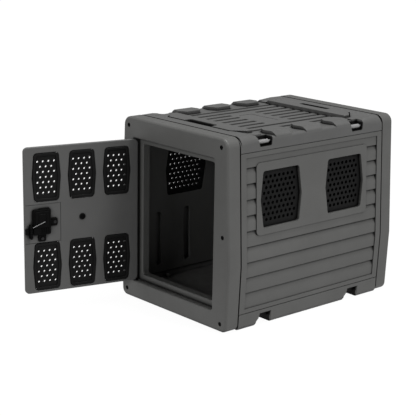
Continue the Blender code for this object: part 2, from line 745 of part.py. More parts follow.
def door_panel():
    half = DOOR_THICKNESS / 2
    outline = rectangle(
        -DOOR_AXIS_INSET, DOOR_BOTTOM_Z, DOOR_WIDTH - DOOR_AXIS_INSET, DOOR_TOP_Z, DOOR_RADIUS,
    )
    door = prism("door_panel", [outline], -half, half, material=DOOR_GREY)
    bevel_edges(door, DOOR_EDGE_ROUNDING, 2)
    for name, x, z in vent_places():
        cut(door, prism(f"vent_{name}", [vent_outline(x, z)], -half - 5, half + 5, cutter=True))
    for place, z0, z1 in (
        ("lower", DOOR_BOTTOM_Z - 5, DOOR_BOTTOM_Z + HINGE_PIN_IN_DOOR + GAP),
        ("upper", DOOR_TOP_Z - HINGE_PIN_IN_DOOR - GAP, DOOR_TOP_Z + 5),
    ):
        bore = rod(
            f"pin_bore_{place}", (0, 0, z0), (0, 0, z1), HINGE_PIN_RADIUS + GAP, cutter=True, segments=12,
        )
        cut(door, bore)
    spindle_bore = rod(
        "spindle_bore", (SPINDLE_X, -20, SPINDLE_Z), (SPINDLE_X, 20, SPINDLE_Z),
        SPINDLE_RADIUS + GAP, cutter=True,
    )
    hang(cut(door, spindle_bore))


def door_grilles():
    for name, x, z in vent_places():
        grille = prism(
            f"door_grille_{name}", [vent_outline(x, z, GAP)], -1.5, 1.5, material=GRILLE_BLACK,
        )
        hang(grille)


def hinge_pins():
    for place, z0, z1 in (
        ("lower", DOOR_BOTTOM_Z - HINGE_PIN_IN_FRAME, DOOR_BOTTOM_Z + HINGE_PIN_IN_DOOR),
        ("upper", DOOR_TOP_Z - HINGE_PIN_IN_DOOR, DOOR_TOP_Z + HINGE_PIN_IN_FRAME),
    ):
        pin = rod(f"hinge_pin_{place}", (0, 0, z0), (0, 0, z1), HINGE_PIN_RADIUS, BAR_STEEL, segments=12)
        hang(pin)


def door_plug():
    y0 = DOOR_THICKNESS / 2 + GAP
    plug = rod(
        "door_plug", (DOOR_MID_X, y0, DOOR_MID_Z), (DOOR_MID_X, y0 + 3, DOOR_MID_Z), 9.5, LATCH_BLACK,
        segments=20,
    )
    hang(plug)


# --- latch ------------------------------------------------------------------------------------
def latch_housing():
    """Box on the inner face, with a fixing tab towards the hinge and one below."""
    y0 = DOOR_THICKNESS / 2 + GAP
    y1 = y0 + LATCH_DEPTH
    box = rectangle(LATCH_MIN_X, LATCH_BOTTOM_Z, LATCH_MAX_X, LATCH_TOP_Z, 5.0, 2)
    housing = prism("latch_housing", [box], y0, y1, material=LATCH_BLACK)
    tab = rectangle(LATCH_MIN_X - 23, 266, LATCH_MIN_X + 5, 290, 6.0, 2)
    tongue = rectangle(296, 221, 320, LATCH_BOTTOM_Z + 5, 6.0, 2)
    tools = [
        prism("latch_tab", [tab], y0 + 0.4, y0 + 4, cutter=True),
        prism("latch_tongue", [tongue], y0 + 0.4, y0 + 4, cutter=True),
    ]
    join(housing, *tools)
    channel = block(
        "bolt_channel", (LATCH_MIN_X + 8, y0 - 5, BOLT_Z - BOLT_HALF_HEIGHT - 0.6),
        (LATCH_MAX_X + 10, y0 + 7, BOLT_Z + BOLT_HALF_HEIGHT + 0.6), cutter=True,
    )
    cam_room = rod(
        "cam_room", (SPINDLE_X, y0 - 5, SPINDLE_Z), (SPINDLE_X, y0 + 7.4, SPINDLE_Z), 12.0, cutter=True,
    )
    holes = [
        rod(f"latch_screw_hole_{index}", (x, y0 - 5, z), (x, y0 + 10, z), 2.5, cutter=True, segments=12)
        for index, (x, z) in enumerate(latch_screw_places(), 1)
    ]
    hang(cut(housing, channel, cam_room, *holes))


def latch_screw_places():
    return [(LATCH_MIN_X - 14, 278.0), (308.0, 230.0)]


def latch_screws():
    y0 = DOOR_THICKNESS / 2 + GAP
    for index, (x, z) in enumerate(latch_screw_places(), 1):
        head = rod(f"latch_screw_{index}", (x, y0 + 4 + GAP, z), (x, y0 + 6.5, z), 4.6, SCREW_BLACK)
        shank = rod(f"latch_shank_{index}", (x, y0 + 0.2, z), (x, y0 + 5, z), 2.1, cutter=True, segments=12)
        hang(join(head, shank))


def latch_bolt():
    """Sliding bolt with an upright finger lever outside the housing."""
    y0 = DOOR_THICKNESS / 2 + GAP
    bolt = block(
        "latch_bolt", (LATCH_MIN_X + 10, y0 + GAP, BOLT_Z - BOLT_HALF_HEIGHT),
        (BOLT_TIP_X, y0 + 6.6, BOLT_Z + BOLT_HALF_HEIGHT), LATCH_BLACK,
    )
    lever = block(
        "bolt_lever", (LATCH_MAX_X + 3, y0 + 1, BOLT_Z - 22),
        (LATCH_MAX_X + 11, y0 + 13.4, BOLT_Z + 22), cutter=True,
    )
    hang(join(bolt, lever))


def latch_rod():
    """Bright pull rod that runs from the bolt's lever across the housing."""
    y = DOOR_THICKNESS / 2 + GAP + LATCH_DEPTH + 2.4
    start = (LATCH_MAX_X + 2.0, y, BOLT_Z + 15)
    end = (LATCH_MIN_X + 20, y, BOLT_Z + 30)
    hang(rod("latch_pull_rod", start, end, 1.9, BAR_STEEL, segments=12))


def latch_handle():
    """Turn handle on the outer face, with the spindle and cam that move the bolt."""
    outer = -DOOR_THICKNESS / 2 - GAP
    rose = rod("latch_handle", (SPINDLE_X, outer - 5, SPINDLE_Z), (SPINDLE_X, outer, SPINDLE_Z), 21.0,
               LATCH_BLACK, segments=24)
    grip = block(
        "latch_grip", (SPINDLE_X - 7, outer - 20, SPINDLE_Z - 30),
        (SPINDLE_X + 7, outer - 4, SPINDLE_Z + 30), cutter=True,
    )
    bevel_edges(grip, 3.0, 2)
    spindle = rod(
        "latch_spindle", (SPINDLE_X, outer - 2, SPINDLE_Z),
        (SPINDLE_X, DOOR_THICKNESS / 2 + 7.0, SPINDLE_Z), SPINDLE_RADIUS, cutter=True,
    )
    hang(join(rose, grip, spindle))


# --- assembly ---------------------------------------------------------------------------------
front_frame()
strike_plate()
frame_screws("front", FRONT_Y, 1)
frame_ring("rear_frame", REAR_Y, REAR_SEAM_Y + GAP / 2)
frame_screws("rear", REAR_Y, -1)
rear_panel()
rear_grilles()
for side_name, side_sign in (("left", -1), ("right", 1)):
    side_panel(side_name, side_sign)
    side_grilles(side_name, side_sign)
roof_cover()
tie_bars()
base_tray()
DOOR_AXIS = door_axis()
door_panel()
door_grilles()
hinge_pins()
door_plug()
latch_housing()
latch_screws()
latch_bolt()
latch_rod()
latch_handle()
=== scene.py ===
"""Looks of the pet transport carrier: a hard crate with end frames, lap-sided walls and a hinged door.

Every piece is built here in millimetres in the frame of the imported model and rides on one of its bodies.
The door's pieces are built for the closed door and then swung to the open rest position.
"""
import json
import math

import bmesh
import bpy
from mathutils import Matrix, Vector


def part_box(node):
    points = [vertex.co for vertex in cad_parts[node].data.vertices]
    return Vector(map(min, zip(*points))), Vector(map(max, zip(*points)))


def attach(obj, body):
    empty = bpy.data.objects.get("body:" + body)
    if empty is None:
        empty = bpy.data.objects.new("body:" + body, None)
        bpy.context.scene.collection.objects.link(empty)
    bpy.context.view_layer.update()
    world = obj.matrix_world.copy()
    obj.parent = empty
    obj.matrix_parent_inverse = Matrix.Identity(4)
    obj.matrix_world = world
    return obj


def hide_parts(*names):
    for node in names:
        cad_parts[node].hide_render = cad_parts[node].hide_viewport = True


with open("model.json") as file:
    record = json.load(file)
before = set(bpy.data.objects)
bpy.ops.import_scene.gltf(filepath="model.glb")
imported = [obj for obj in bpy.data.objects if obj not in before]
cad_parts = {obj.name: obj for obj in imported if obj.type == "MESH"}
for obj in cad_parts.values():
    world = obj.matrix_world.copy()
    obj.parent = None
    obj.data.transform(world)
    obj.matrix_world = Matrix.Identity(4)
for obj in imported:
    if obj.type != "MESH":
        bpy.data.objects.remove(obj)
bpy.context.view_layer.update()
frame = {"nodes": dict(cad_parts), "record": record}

MM = 0.001
GAP = 0.3                     # clearance between the door and what is fixed to it, mm
CUTTER_LAP = 0.01             # how far two cutters in a row reach into each other, mm
SHADE_SHEET_WALL = 1.4             # thickness of the black sheets that stand in for the shade in the hand-holds and tie-down pockets, mm

# --- sizes read from the frame, mm ------------------------------------------------------------


def node_box(node):
    """Lowest and highest corner of a CAD node, mm."""
    low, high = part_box(node)
    return low / MM, high / MM


frame_low, frame_high = node_box("front_frame")
rear_low, rear_high = node_box("rear_frame")
cover_low, cover_high = node_box("top_cover")
tray_low, tray_high = node_box("base_tray")
wall_low, wall_high = node_box("right_side_panel")

HALF_WIDTH = frame_high.x
FRONT_Y = frame_low.y
REAR_Y = rear_high.y
FRONT_SEAM_Y = frame_high.y
REAR_SEAM_Y = rear_low.y
FRAME_TOP_Z = frame_high.z
SKIRT_Z = cover_low.z
BASE_TOP_Z = tray_high.z

# --- the shell's shape, mm --------------------------------------------------------------------
BULGE_Z = 195.0               # height of the widest line of the walls
LEAN_ABOVE = 0.0443           # inward lean of the walls above it, mm per mm
LEAN_BELOW = 0.0461
TOP_CORNER_RADIUS = 27.0
BOTTOM_CORNER_RADIUS = 22.0
FRAME_EDGE_RADIUS = 8.0       # rounding of the end frames' outer faces
SCREW_INSET = 26.0
SCREW_HEIGHTS = (25.0, 286.0, 547.0)

OPENING_LEFT_X = -190.0
OPENING_RIGHT_X = 182.0
OPENING_BOTTOM_Z = 57.5
OPENING_TOP_Z = 511.0
OPENING_RADIUS = 5.0
REBATE_DEPTH = 22.0
FLANGE_WIDTH = 22.0
FLANGE_HEIGHT = 19.0

WALL = 22.0
SEAM = 3.6                    # half of the visible joint between shell parts
MESH_BACK = 10.0              # set-back of the perforated plates from the wall's face
MESH_THICKNESS = 10.2
FIELD_INSET_Y = 21.0
FIELD_BOTTOM_Z = 62.0
FIELD_TOP_Z = 511.0
LAP_PITCH = 46.4
LAP_LOWEST_Z = 110.3
LAP_COUNT = 9
LAP_DEPTH = 9.5
LAP_FACE_DEPTH = 2.6
LAP_SLOPE = 18.7
PLATE_LENGTH = 470.0
PLATE_BOTTOM_Z = 277.0
PLATE_TOP_Z = 491.0
PLATE_RADIUS = 14.0
SIDE_MIDS_Y = {"left": 26.0, "right": -4.0}
WINDOW_SPACING = 270.0
WINDOW_Z = 381.0
WINDOW_HEIGHT = 168.0
WINDOW_MID_WIDTH = 168.0
WINDOW_END_WIDTH = 146.0
WINDOW_RADIUS = 9.0
INNER_CHANNELS = ((-226.0, -206.0), (-110.0, -84.0), (84.0, 110.0), (206.0, 226.0))
CHANNEL_Z = (72.0, 248.0)
CHANNEL_DEPTH = 8.5
REAR_LAP_LOWEST_Z = 84.0
REAR_LAP_COUNT = 4
REAR_LAP_DEPTH = 4.5
LEVER_RELIEF_Z = (228.0, 284.0)
STRIKE_SEAT_Y = (8.5, 21.5)   # behind the front face
STRIKE_SEAT_HALF_HEIGHT = 24.0
BOLT_POCKET_Y = (9.5, 20.5)
BOLT_POCKET_HALF_HEIGHT = 11.0
SCREW_BORE_RADIUS = 6.6
SCREW_BORE_DEPTH = 12.0

DECK_Z = 563.5
SHOULDER_Z = 567.0
LEDGE_Z = 572.4
BAND_TOP_Z = 574.6
PAD_TOP_Z = 573.8
ROOF_UNDER_Z = 549.0
BAND_OUTER_Y = 254.0
BAND_INNER_Y = 193.0
BAND_OUTER_X = 136.0          # half length of the band's outer edge, before its chamfered ends
BAND_INNER_X = 173.0
PAD_RANGES = ((-170.0, -88.0), (-45.0, 40.0), (83.0, 165.0))
PAD_INNER_X = 166.0
PAD_POINT_X = 191.0
PAD_OUTER_X = 262.0           # beyond the walls, so that the pad ends at its own rounded section
GROOVE_PITCH = 36.5
GROOVE_WIDTH = 15.0
GROOVE_DEPTH = 10.5
GROOVE_REACH = 4              # grooves on each side of the middle one
PLAIN_PLATE_Y = (-54.0, 50.0)
HANDHOLD_HALF_WIDTH = 62.0
HANDHOLD_INNER_Y = 230.0
HANDHOLD_OUTER_Y = 259.0
HANDHOLD_FLOOR_Z = 538.0
# top of the black cup that stands in for the shade in a hand-hold
HANDHOLD_SHADE_TOP_Z = 571.2
TIE_CENTRES_Y = (-203.0, 184.0)
TIE_HALF_LENGTH = 31.0
TIE_FLOOR_Z = 537.0
TIE_TOP_Z = 572.0
TIE_FRONT_LEAN = 10.0         # how far each side leans out between floor and top
TIE_REAR_LEAN = 6.0
TIE_INNER_X = 206.0
# reach and top of the black trough that stands in for the shade in a tie-down pocket
TIE_SHADE_OUTER_X = 233.5
TIE_SHADE_TOP_Z = 561.0
TIE_BAR = (226.0, 549.5)      # x and z of the bars' centre line

BASE_NOTCHES_Y = (-198.0, 182.0)
BASE_NOTCH_HALF_LENGTH = 30.0
BASE_NOTCH_TOP_Z = 21.0
BASE_RECESS_TOP_Z = 36.0      # the notch is taller in the tray's outer skin
BASE_RECESS_DEPTH = 9.0
# inner end of the black walls that stand in for the shade in a strap notch
STRAP_SHADE_INNER_X = 168.0
BOSS_X = 214.0
BOSS_Y = 186.0
BASE_WALL = 14.0
FLOOR_TOP_Z = 30.0
FLOOR_UNDER_Z = 22.0
RUNNER_X = (30.0, 60.0)       # from and to, either side of the middle

REAR_WINDOW_X = 88.0
REAR_WINDOW_Z = 361.0
REAR_WINDOW_MID_WIDTH = 136.0
REAR_WINDOW_END_WIDTH = 116.0

# --- the door, in the closed door's own frame: X from the hinge axis, Y from its mid plane, mm -----
DOOR_REST_ANGLE = 104.0
DOOR_THICKNESS = 10.0
DOOR_AXIS = (-182.5, -345.0)
DOOR_MIN_X = -5.0
DOOR_MAX_X = 362.0
DOOR_BOTTOM_Z = 60.0
DOOR_TOP_Z = 508.5
DOOR_RADIUS = 14.0
DOOR_MID_X = (DOOR_MIN_X + DOOR_MAX_X) / 2
VENT_PITCH = 113.0
VENT_MID_WIDTH = 88.0
VENT_END_WIDTH = 76.0
VENT_HEIGHT = 145.5
VENT_RADIUS = 10.0
VENT_ROWS_Z = (141.5, 415.5)
VENT_FLARE = 3.2              # rounding of the vent openings' inner edges
RIM_WIDTH = 9.0               # black rim round each vent
RIM_RISE = 1.4
LATCH_FIELD = (247.5, 216.0, 359.0, 335.0)
LATCH_BOX = (282.0, 243.0, 337.0, 320.0)
SPINDLE = (309.5, 292.0)
BOLT_TIP_X = 361.5
PLUG = (178.5, 284.25)

CREVICE_REACH = 0.013         # metres over which painted shade gathers in creases
CREVICE_SHUT = 0.50           # open share of the surroundings at which the painted shade is darkest
CREVICE_OPEN = 0.93           # open share of the surroundings at which there is no painted shade
CREVICE_SHADE = 0.06          # share of the colour that is left under the darkest painted shade

HOLE_PITCH_X = 17.5           # perforation
HOLE_PITCH_Z = 15.8
SIDE_HOLE_RADIUS = 5.2
REAR_HOLE_RADIUS = 4.5
VENT_HOLE_RADIUS = 3.6
SIDE_HOLE_REACH = (66.0, 71.5)  # half width and half height of the perforated field
REAR_HOLE_REACH = (48.5, 71.5)
VENT_HOLE_REACH = (27.0, 48.0)


# --- materials --------------------------------------------------------------------------------
# A Mix node has float, vector and colour sockets of the same names, so these are told by number.
COLOUR_A = 6
COLOUR_B = 7
COLOUR_RESULT = 2


def link(tree, source, output, target, entry):
    tree.links.new(source.outputs[output], target.inputs[entry])


def noise(tree, coordinates, scale, detail=2.0, roughness=0.5):
    node = tree.nodes.new("ShaderNodeTexNoise")
    node.inputs["Scale"].default_value = scale
    node.inputs["Detail"].default_value = detail
    node.inputs["Roughness"].default_value = roughness
    link(tree, coordinates, "Object", node, "Vector")
    return node


def spread(tree, source, low, high):
    """Maps a noise's usual range onto low..high."""
    node = tree.nodes.new("ShaderNodeMapRange")
    node.inputs["From Min"].default_value = 0.3
    node.inputs["From Max"].default_value = 0.7
    node.inputs["To Min"].default_value = low
    node.inputs["To Max"].default_value = high
    link(tree, source, 0, node, "Value")
    return node


def painted_crease_shade(tree, colour):
    """Paints shade into a colour where the surface is closed in by its own creases."""
    closed_in = tree.nodes.new("ShaderNodeAmbientOcclusion")
    closed_in.samples = 8
    closed_in.inputs["Distance"].default_value = CREVICE_REACH
    crease_shade = tree.nodes.new("ShaderNodeMapRange")
    crease_shade.inputs["From Min"].default_value = CREVICE_SHUT
    crease_shade.inputs["From Max"].default_value = CREVICE_OPEN
    crease_shade.inputs["To Min"].default_value = CREVICE_SHADE
    crease_shade.inputs["To Max"].default_value = 1.0
    link(tree, closed_in, "AO", crease_shade, "Value")
    shaded_colour = tree.nodes.new("ShaderNodeMix")
    shaded_colour.data_type = "RGBA"
    shaded_colour.blend_type = "MULTIPLY"
    shaded_colour.inputs["Factor"].default_value = 1.0
    link(tree, colour, "Color", shaded_colour, COLOUR_A)
    link(tree, crease_shade, "Result", shaded_colour, COLOUR_B)
    return shaded_colour


def moulded(name, dark, light, roughness, grain=0.12, grain_scale=900.0, metallic=0.0, specular=0.25):
    """Moulded plastic or coated metal: cloudy colour, painted shade in creases, uneven sheen and a fine
    grain.
    """
    material = bpy.data.materials.new(name)
    material.use_nodes = True
    tree = material.node_tree
    shader = tree.nodes["Principled BSDF"]
    shader.inputs["Metallic"].default_value = metallic
    shader.inputs["Specular IOR Level"].default_value = specular
    coordinates = tree.nodes.new("ShaderNodeTexCoord")

    clouds = noise(tree, coordinates, 7.0, 4.0, 0.6)
    ramp = tree.nodes.new("ShaderNodeValToRGB")
    ramp.color_ramp.elements[0].position = 0.3
    ramp.color_ramp.elements[0].color = (*dark, 1.0)
    ramp.color_ramp.elements[1].position = 0.7
    ramp.color_ramp.elements[1].color = (*light, 1.0)
    link(tree, clouds, 0, ramp, "Fac")
    # The base colour carries painted shade, darker where the surface is closed in by creases.
    link(tree, painted_crease_shade(tree, ramp), COLOUR_RESULT, shader, "Base Color")

    sheen = spread(tree, noise(tree, coordinates, 38.0, 3.0), roughness - 0.05, roughness + 0.06)
    link(tree, sheen, "Result", shader, "Roughness")

    pebbles = noise(tree, coordinates, grain_scale, 2.0, 0.6)
    bump = tree.nodes.new("ShaderNodeBump")
    bump.inputs["Strength"].default_value = grain
    bump.inputs["Distance"].default_value = 0.0004
    link(tree, pebbles, 0, bump, "Height")
    link(tree, bump, "Normal", shader, "Normal")
    return material


SHELL = moulded("shell_plastic", (0.053, 0.053, 0.051), (0.061, 0.061, 0.059), 0.46)
ROOF = moulded("roof_plastic", (0.053, 0.053, 0.052), (0.061, 0.061, 0.060), 0.46)
DOOR = moulded("door_plastic", (0.053, 0.053, 0.052), (0.061, 0.061, 0.060), 0.46)
# Also the colour of the black sheets that stand in for shade in the hand-holds, tie-down pockets and strap
# notches.
GRILLE = moulded("grille_plastic", (0.004, 0.004, 0.004), (0.006, 0.006, 0.006), 0.5, specular=0.06)
LATCH = moulded("latch_plastic", (0.002, 0.002, 0.002), (0.003, 0.003, 0.003), 0.5, specular=0.03)
SCREW = moulded("screw_steel", (0.006, 0.006, 0.006), (0.010, 0.010, 0.010), 0.4, 0.05, 1500.0, 0.3)
BAR = moulded("bar_steel", (0.15, 0.15, 0.15), (0.20, 0.20, 0.20), 0.45, 0.05, 1200.0, 0.3)


# --- outlines, mm -----------------------------------------------------------------------------
def half_width_at(z):
    """Half width of the body at a height; the walls lean in above and below their bulge."""
    lean = LEAN_ABOVE if z > BULGE_Z else LEAN_BELOW
    return HALF_WIDTH - lean * abs(z - BULGE_Z)


def inset_corners(corners, inset):
    """The corners of a counter-clockwise polygon after each side has moved inwards."""
    moved = []
    count = len(corners)
    for index, corner in enumerate(corners):
        before = (Vector(corner) - Vector(corners[index - 1])).normalized()
        after = (Vector(corners[(index + 1) % count]) - Vector(corner)).normalized()
        first = Vector((-before.y, before.x))
        second = Vector((-after.y, after.x))
        moved.append(Vector(corner) + (first + second) * inset / (1 + first.dot(second)))
    return moved


def outline(corners, radii, inset=0.0, steps=6):
    """Counter-clockwise outline with rounded corners, moved inwards by inset."""
    moved = inset_corners(corners, inset)
    count = len(moved)
    points = []
    for index, corner in enumerate(moved):
        before = (moved[index - 1] - corner).normalized()
        after = (moved[(index + 1) % count] - corner).normalized()
        if radii[index] <= 0:
            points.append(tuple(corner))
            continue
        radius = max(radii[index] - inset, 0.3)
        turn = math.pi - before.angle(after)
        centre = corner + (before + after).normalized() * radius / math.cos(turn / 2)
        first = corner + before * radius * math.tan(turn / 2) - centre
        for step in range(steps + 1):
            points.append(tuple(centre + Matrix.Rotation(turn * step / steps, 2) @ first))
    return points


def box_corners(u0, v0, u1, v1):
    return [(u0, v0), (u1, v0), (u1, v1), (u0, v1)]


def hexagon(mid_u, mid_v, mid_width, end_width, height):
    """Corners of an upright hexagon, widest at mid height."""
    low, high = mid_v - height / 2, mid_v + height / 2
    return [
        (mid_u - end_width / 2, low), (mid_u + end_width / 2, low), (mid_u + mid_width / 2, mid_v),
        (mid_u + end_width / 2, high), (mid_u - end_width / 2, high), (mid_u - mid_width / 2, mid_v),
    ]


def hex_radii(radius):
    return [radius, radius, 0, radius, radius, 0]


# --- solids -----------------------------------------------------------------------------------
# A solid is a stack of outlines.  Stations are (depth along the axis, inset of the outline).
def to_y(u, v, depth):
    return Vector((u, depth, v))


def to_x(u, v, depth):
    return Vector((depth, u, v))


def to_z(u, v, depth):
    return Vector((u, v, depth))


def rounded_start(depth, direction, radius, steps=4):
    """Stations of a convex rounded edge that starts at a face and runs into the solid."""
    for step in range(steps + 1):
        angle = math.radians(90) * step / steps
        yield depth + direction * radius * (1 - math.cos(angle)), radius * (1 - math.sin(angle))


def slab(name, corners, radii, low, high, place=to_y, round_low=0.0, round_high=0.0, steps=6, flare=1):
    """Solid between two stations, with rounded rims.  A flare of -1 makes a cutter whose rims widen."""
    stations = []
    if round_low > 0:
        if flare < 0:
            stations.append((low - 2, -round_low))
        stations += [(d, flare * i) for d, i in rounded_start(low, 1, round_low)]
    else:
        stations.append((low, 0.0))
    if round_high > 0:
        stations += [(d, flare * i) for d, i in reversed(list(rounded_start(high, -1, round_high)))]
        if flare < 0:
            stations.append((high + 2, -round_high))
    else:
        stations.append((high, 0.0))
    rings = [[place(u, v, depth) for u, v in outline(corners, radii, inset, steps)]
             for depth, inset in stations]
    return loft(name, rings)


def loft(name, rings):
    """Closed solid through rings of points, mm."""
    work = bmesh.new()
    loops = [[work.verts.new(point * MM) for point in ring] for ring in rings]
    count = len(loops[0])
    for lower, upper in zip(loops, loops[1:]):
        for index in range(count):
            after = (index + 1) % count
            work.faces.new((lower[index], lower[after], upper[after], upper[index]))
    work.faces.new(loops[0][::-1])
    work.faces.new(loops[-1])
    bmesh.ops.recalc_face_normals(work, faces=work.faces)
    if work.calc_volume(signed=True) < 0:
        bmesh.ops.reverse_faces(work, faces=work.faces)
    mesh = bpy.data.meshes.new(name)
    work.to_mesh(mesh)
    work.free()
    piece = bpy.data.objects.new(name, mesh)
    bpy.context.scene.collection.objects.link(piece)
    return piece


def prism(name, points, low, high, place=to_y):
    """Straight solid over any closed outline."""
    return loft(name, [[place(u, v, depth) for u, v in points] for depth in (low, high)])


def box(name, low, high, radius=0.0):
    """Block between two corners, with rounded upright edges if a radius is given."""
    corners = box_corners(low[0], low[1], high[0], high[1])
    return slab(name, corners, [radius] * 4, low[2], high[2], to_z, steps=4)


def rod(name, start, end, radius, segments=24, chamfer=0.0):
    """Round bar between two points, mm, with chamfered ends."""
    first, last = Vector(start), Vector(end)
    axis = (last - first).normalized()
    across = axis.orthogonal().normalized()
    turn = axis.cross(across)
    length = (last - first).length
    stations = [(0.0, radius), (length, radius)]
    if chamfer > 0:
        narrow = radius - chamfer
        stations = [(0.0, narrow), (chamfer, radius), (length - chamfer, radius), (length, narrow)]
    rings = []
    for along, reach in stations:
        centre = first + axis * along
        angles = [2 * math.pi * step / segments for step in range(segments)]
        rings.append([centre + (across * math.cos(a) + turn * math.sin(a)) * reach for a in angles])
    return loft(name, rings)


def apply_modifiers(piece):
    """Puts the result of a piece's modifiers in place of its mesh."""
    graph = bpy.context.evaluated_depsgraph_get()
    mesh = bpy.data.meshes.new_from_object(piece.evaluated_get(graph))
    old = piece.data
    piece.modifiers.clear()
    piece.data = mesh
    bpy.data.meshes.remove(old)
    return piece


def combine(target, operation, tools):
    for tool in tools:
        modifier = target.modifiers.new(tool.name, "BOOLEAN")
        modifier.operation = operation
        modifier.solver = "EXACT"
        modifier.object = tool
    bpy.context.view_layer.update()
    apply_modifiers(target)
    for tool in tools:
        bpy.data.objects.remove(tool, do_unlink=True)
    return target


def meet(target, tool):
    return combine(target, "INTERSECT", [tool])


def cut(target, *tools):
    return combine(target, "DIFFERENCE", tools)


def join(target, *tools):
    return combine(target, "UNION", tools)


def soften(piece, width, segments=2, angle=30.0):
    """Small rounded edges all over."""
    modifier = piece.modifiers.new("soft_edges", "BEVEL")
    modifier.width = width * MM
    modifier.segments = segments
    modifier.limit_method = "ANGLE"
    modifier.angle_limit = math.radians(angle)
    modifier.use_clamp_overlap = True
    bpy.context.view_layer.update()
    return apply_modifiers(piece)


def complete(piece, material, body, slot, *nodes, smooth=32.0):
    """Gives a finished mesh its material, its smooth shading and its place in the model."""
    piece.data.materials.clear()
    piece.data.materials.append(material)
    piece.data.shade_smooth()
    piece.data.set_sharp_from_angle(angle=math.radians(smooth))
    weighted = piece.modifiers.new("weighted_normals", "WEIGHTED_NORMAL")
    weighted.keep_sharp = True
    apply_modifiers(piece)
    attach(piece, body)
    if nodes:
        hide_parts(*nodes)
    return piece


# --- end frames -------------------------------------------------------------------------------
def frame_corners():
    top, foot = half_width_at(FRAME_TOP_Z), half_width_at(0)
    return [
        (-foot, 0.0), (foot, 0.0), (HALF_WIDTH, BULGE_Z),
        (top, FRAME_TOP_Z), (-top, FRAME_TOP_Z), (-HALF_WIDTH, BULGE_Z),
    ]


def frame_radii():
    low, high = BOTTOM_CORNER_RADIUS, TOP_CORNER_RADIUS
    return [low, low, 0, high, high, 0]


def screw_places():
    for z in SCREW_HEIGHTS:
        for side in (-1, 1):
            yield side * (half_width_at(z) - SCREW_INSET), z


def opening(margin_x=0.0, margin_z=0.0):
    return box_corners(
        OPENING_LEFT_X + margin_x, OPENING_BOTTOM_Z + margin_z,
        OPENING_RIGHT_X - margin_x, OPENING_TOP_Z - margin_z,
    )


def end_frame(node, outer_y, seam_y):
    """Ring with a big rounding on its outer face, a rebate for the door or panel, and a stop flange."""
    inward = 1 if seam_y > outer_y else -1
    low, high = min(outer_y, seam_y), max(outer_y, seam_y)
    ring = slab(
        node + "_ring", frame_corners(), frame_radii(), low, high, to_y,
        FRAME_EDGE_RADIUS if inward > 0 else 1.2, FRAME_EDGE_RADIUS if inward < 0 else 1.2, steps=10,
    )
    rebate_y = outer_y + inward * REBATE_DEPTH
    mouth_radii = [OPENING_RADIUS + 3] * 4
    rebate = slab(
        "rebate", opening(), mouth_radii, min(outer_y, rebate_y), max(outer_y, rebate_y), to_y,
        4.0 if inward > 0 else 0, 4.0 if inward < 0 else 0, flare=-1,
    )
    through_low = min(rebate_y - inward * CUTTER_LAP, seam_y + inward * 3)
    through_high = max(rebate_y - inward * CUTTER_LAP, seam_y + inward * 3)
    through = slab(
        "through", opening(FLANGE_WIDTH, FLANGE_HEIGHT), [9.0] * 4, through_low, through_high, to_y,
        3.0 if inward > 0 else 0, 3.0 if inward < 0 else 0, flare=-1,
    )
    cut(ring, rebate)
    cut(ring, through)
    bores = [
        rod(
            "bore", (x, outer_y - inward * 5, z), (x, outer_y + inward * SCREW_BORE_DEPTH, z),
            SCREW_BORE_RADIUS, 20,
        )
        for x, z in screw_places()
    ]
    cut(ring, *bores)
    if inward > 0:
        # Room for the latch's lever and pull rod, a seat for the strike plate and a pocket for the bolt.
        relief = box_corners(
            OPENING_RIGHT_X - FLANGE_WIDTH - 1, LEVER_RELIEF_Z[0], OPENING_RIGHT_X - 4, LEVER_RELIEF_Z[1],
        )
        cut(ring, slab("lever_relief", relief, [3.0] * 4, rebate_y - 1, rebate_y + 4))
        seat_x, bolt_z = OPENING_RIGHT_X - 1, LATCH_BOX[1] + 11
        for name, (near_y, far_y), half, depth in (
            ("seat", STRIKE_SEAT_Y, STRIKE_SEAT_HALF_HEIGHT, 3),
            ("bolt_pocket", BOLT_POCKET_Y, BOLT_POCKET_HALF_HEIGHT, 15),
        ):
            low_corner = (seat_x, FRONT_Y + near_y, bolt_z - half)
            cut(ring, box(name, low_corner, (seat_x + depth, FRONT_Y + far_y, bolt_z + half)))
    return complete(ring, SHELL, "shell", "shell", node)


# --- side walls -------------------------------------------------------------------------------
def lap_section(side):
    """Cross-section (x, z) of what is missing in front of the lap boards."""
    outside = HALF_WIDTH + 12
    points = [
        (side * outside, FIELD_BOTTOM_Z),
        (side * (half_width_at(FIELD_BOTTOM_Z) - LAP_FACE_DEPTH), FIELD_BOTTOM_Z),
    ]
    for index in range(LAP_COUNT):
        step_z = LAP_LOWEST_Z + LAP_PITCH * index
        crease_z = step_z - LAP_SLOPE
        points.append((side * (half_width_at(crease_z) - LAP_FACE_DEPTH), crease_z))
        points.append((side * (half_width_at(step_z) - LAP_DEPTH), step_z))
        points.append((side * (half_width_at(step_z + 0.8) - LAP_FACE_DEPTH), step_z + 0.8))
    points.append((side * (half_width_at(FIELD_TOP_Z) - LAP_FACE_DEPTH), FIELD_TOP_Z))
    points.append((side * outside, FIELD_TOP_Z))
    return points


def window_corners(side, end):
    return hexagon(
        SIDE_MIDS_Y[side] + end * WINDOW_SPACING / 2, WINDOW_Z, WINDOW_MID_WIDTH, WINDOW_END_WIDTH,
        WINDOW_HEIGHT,
    )


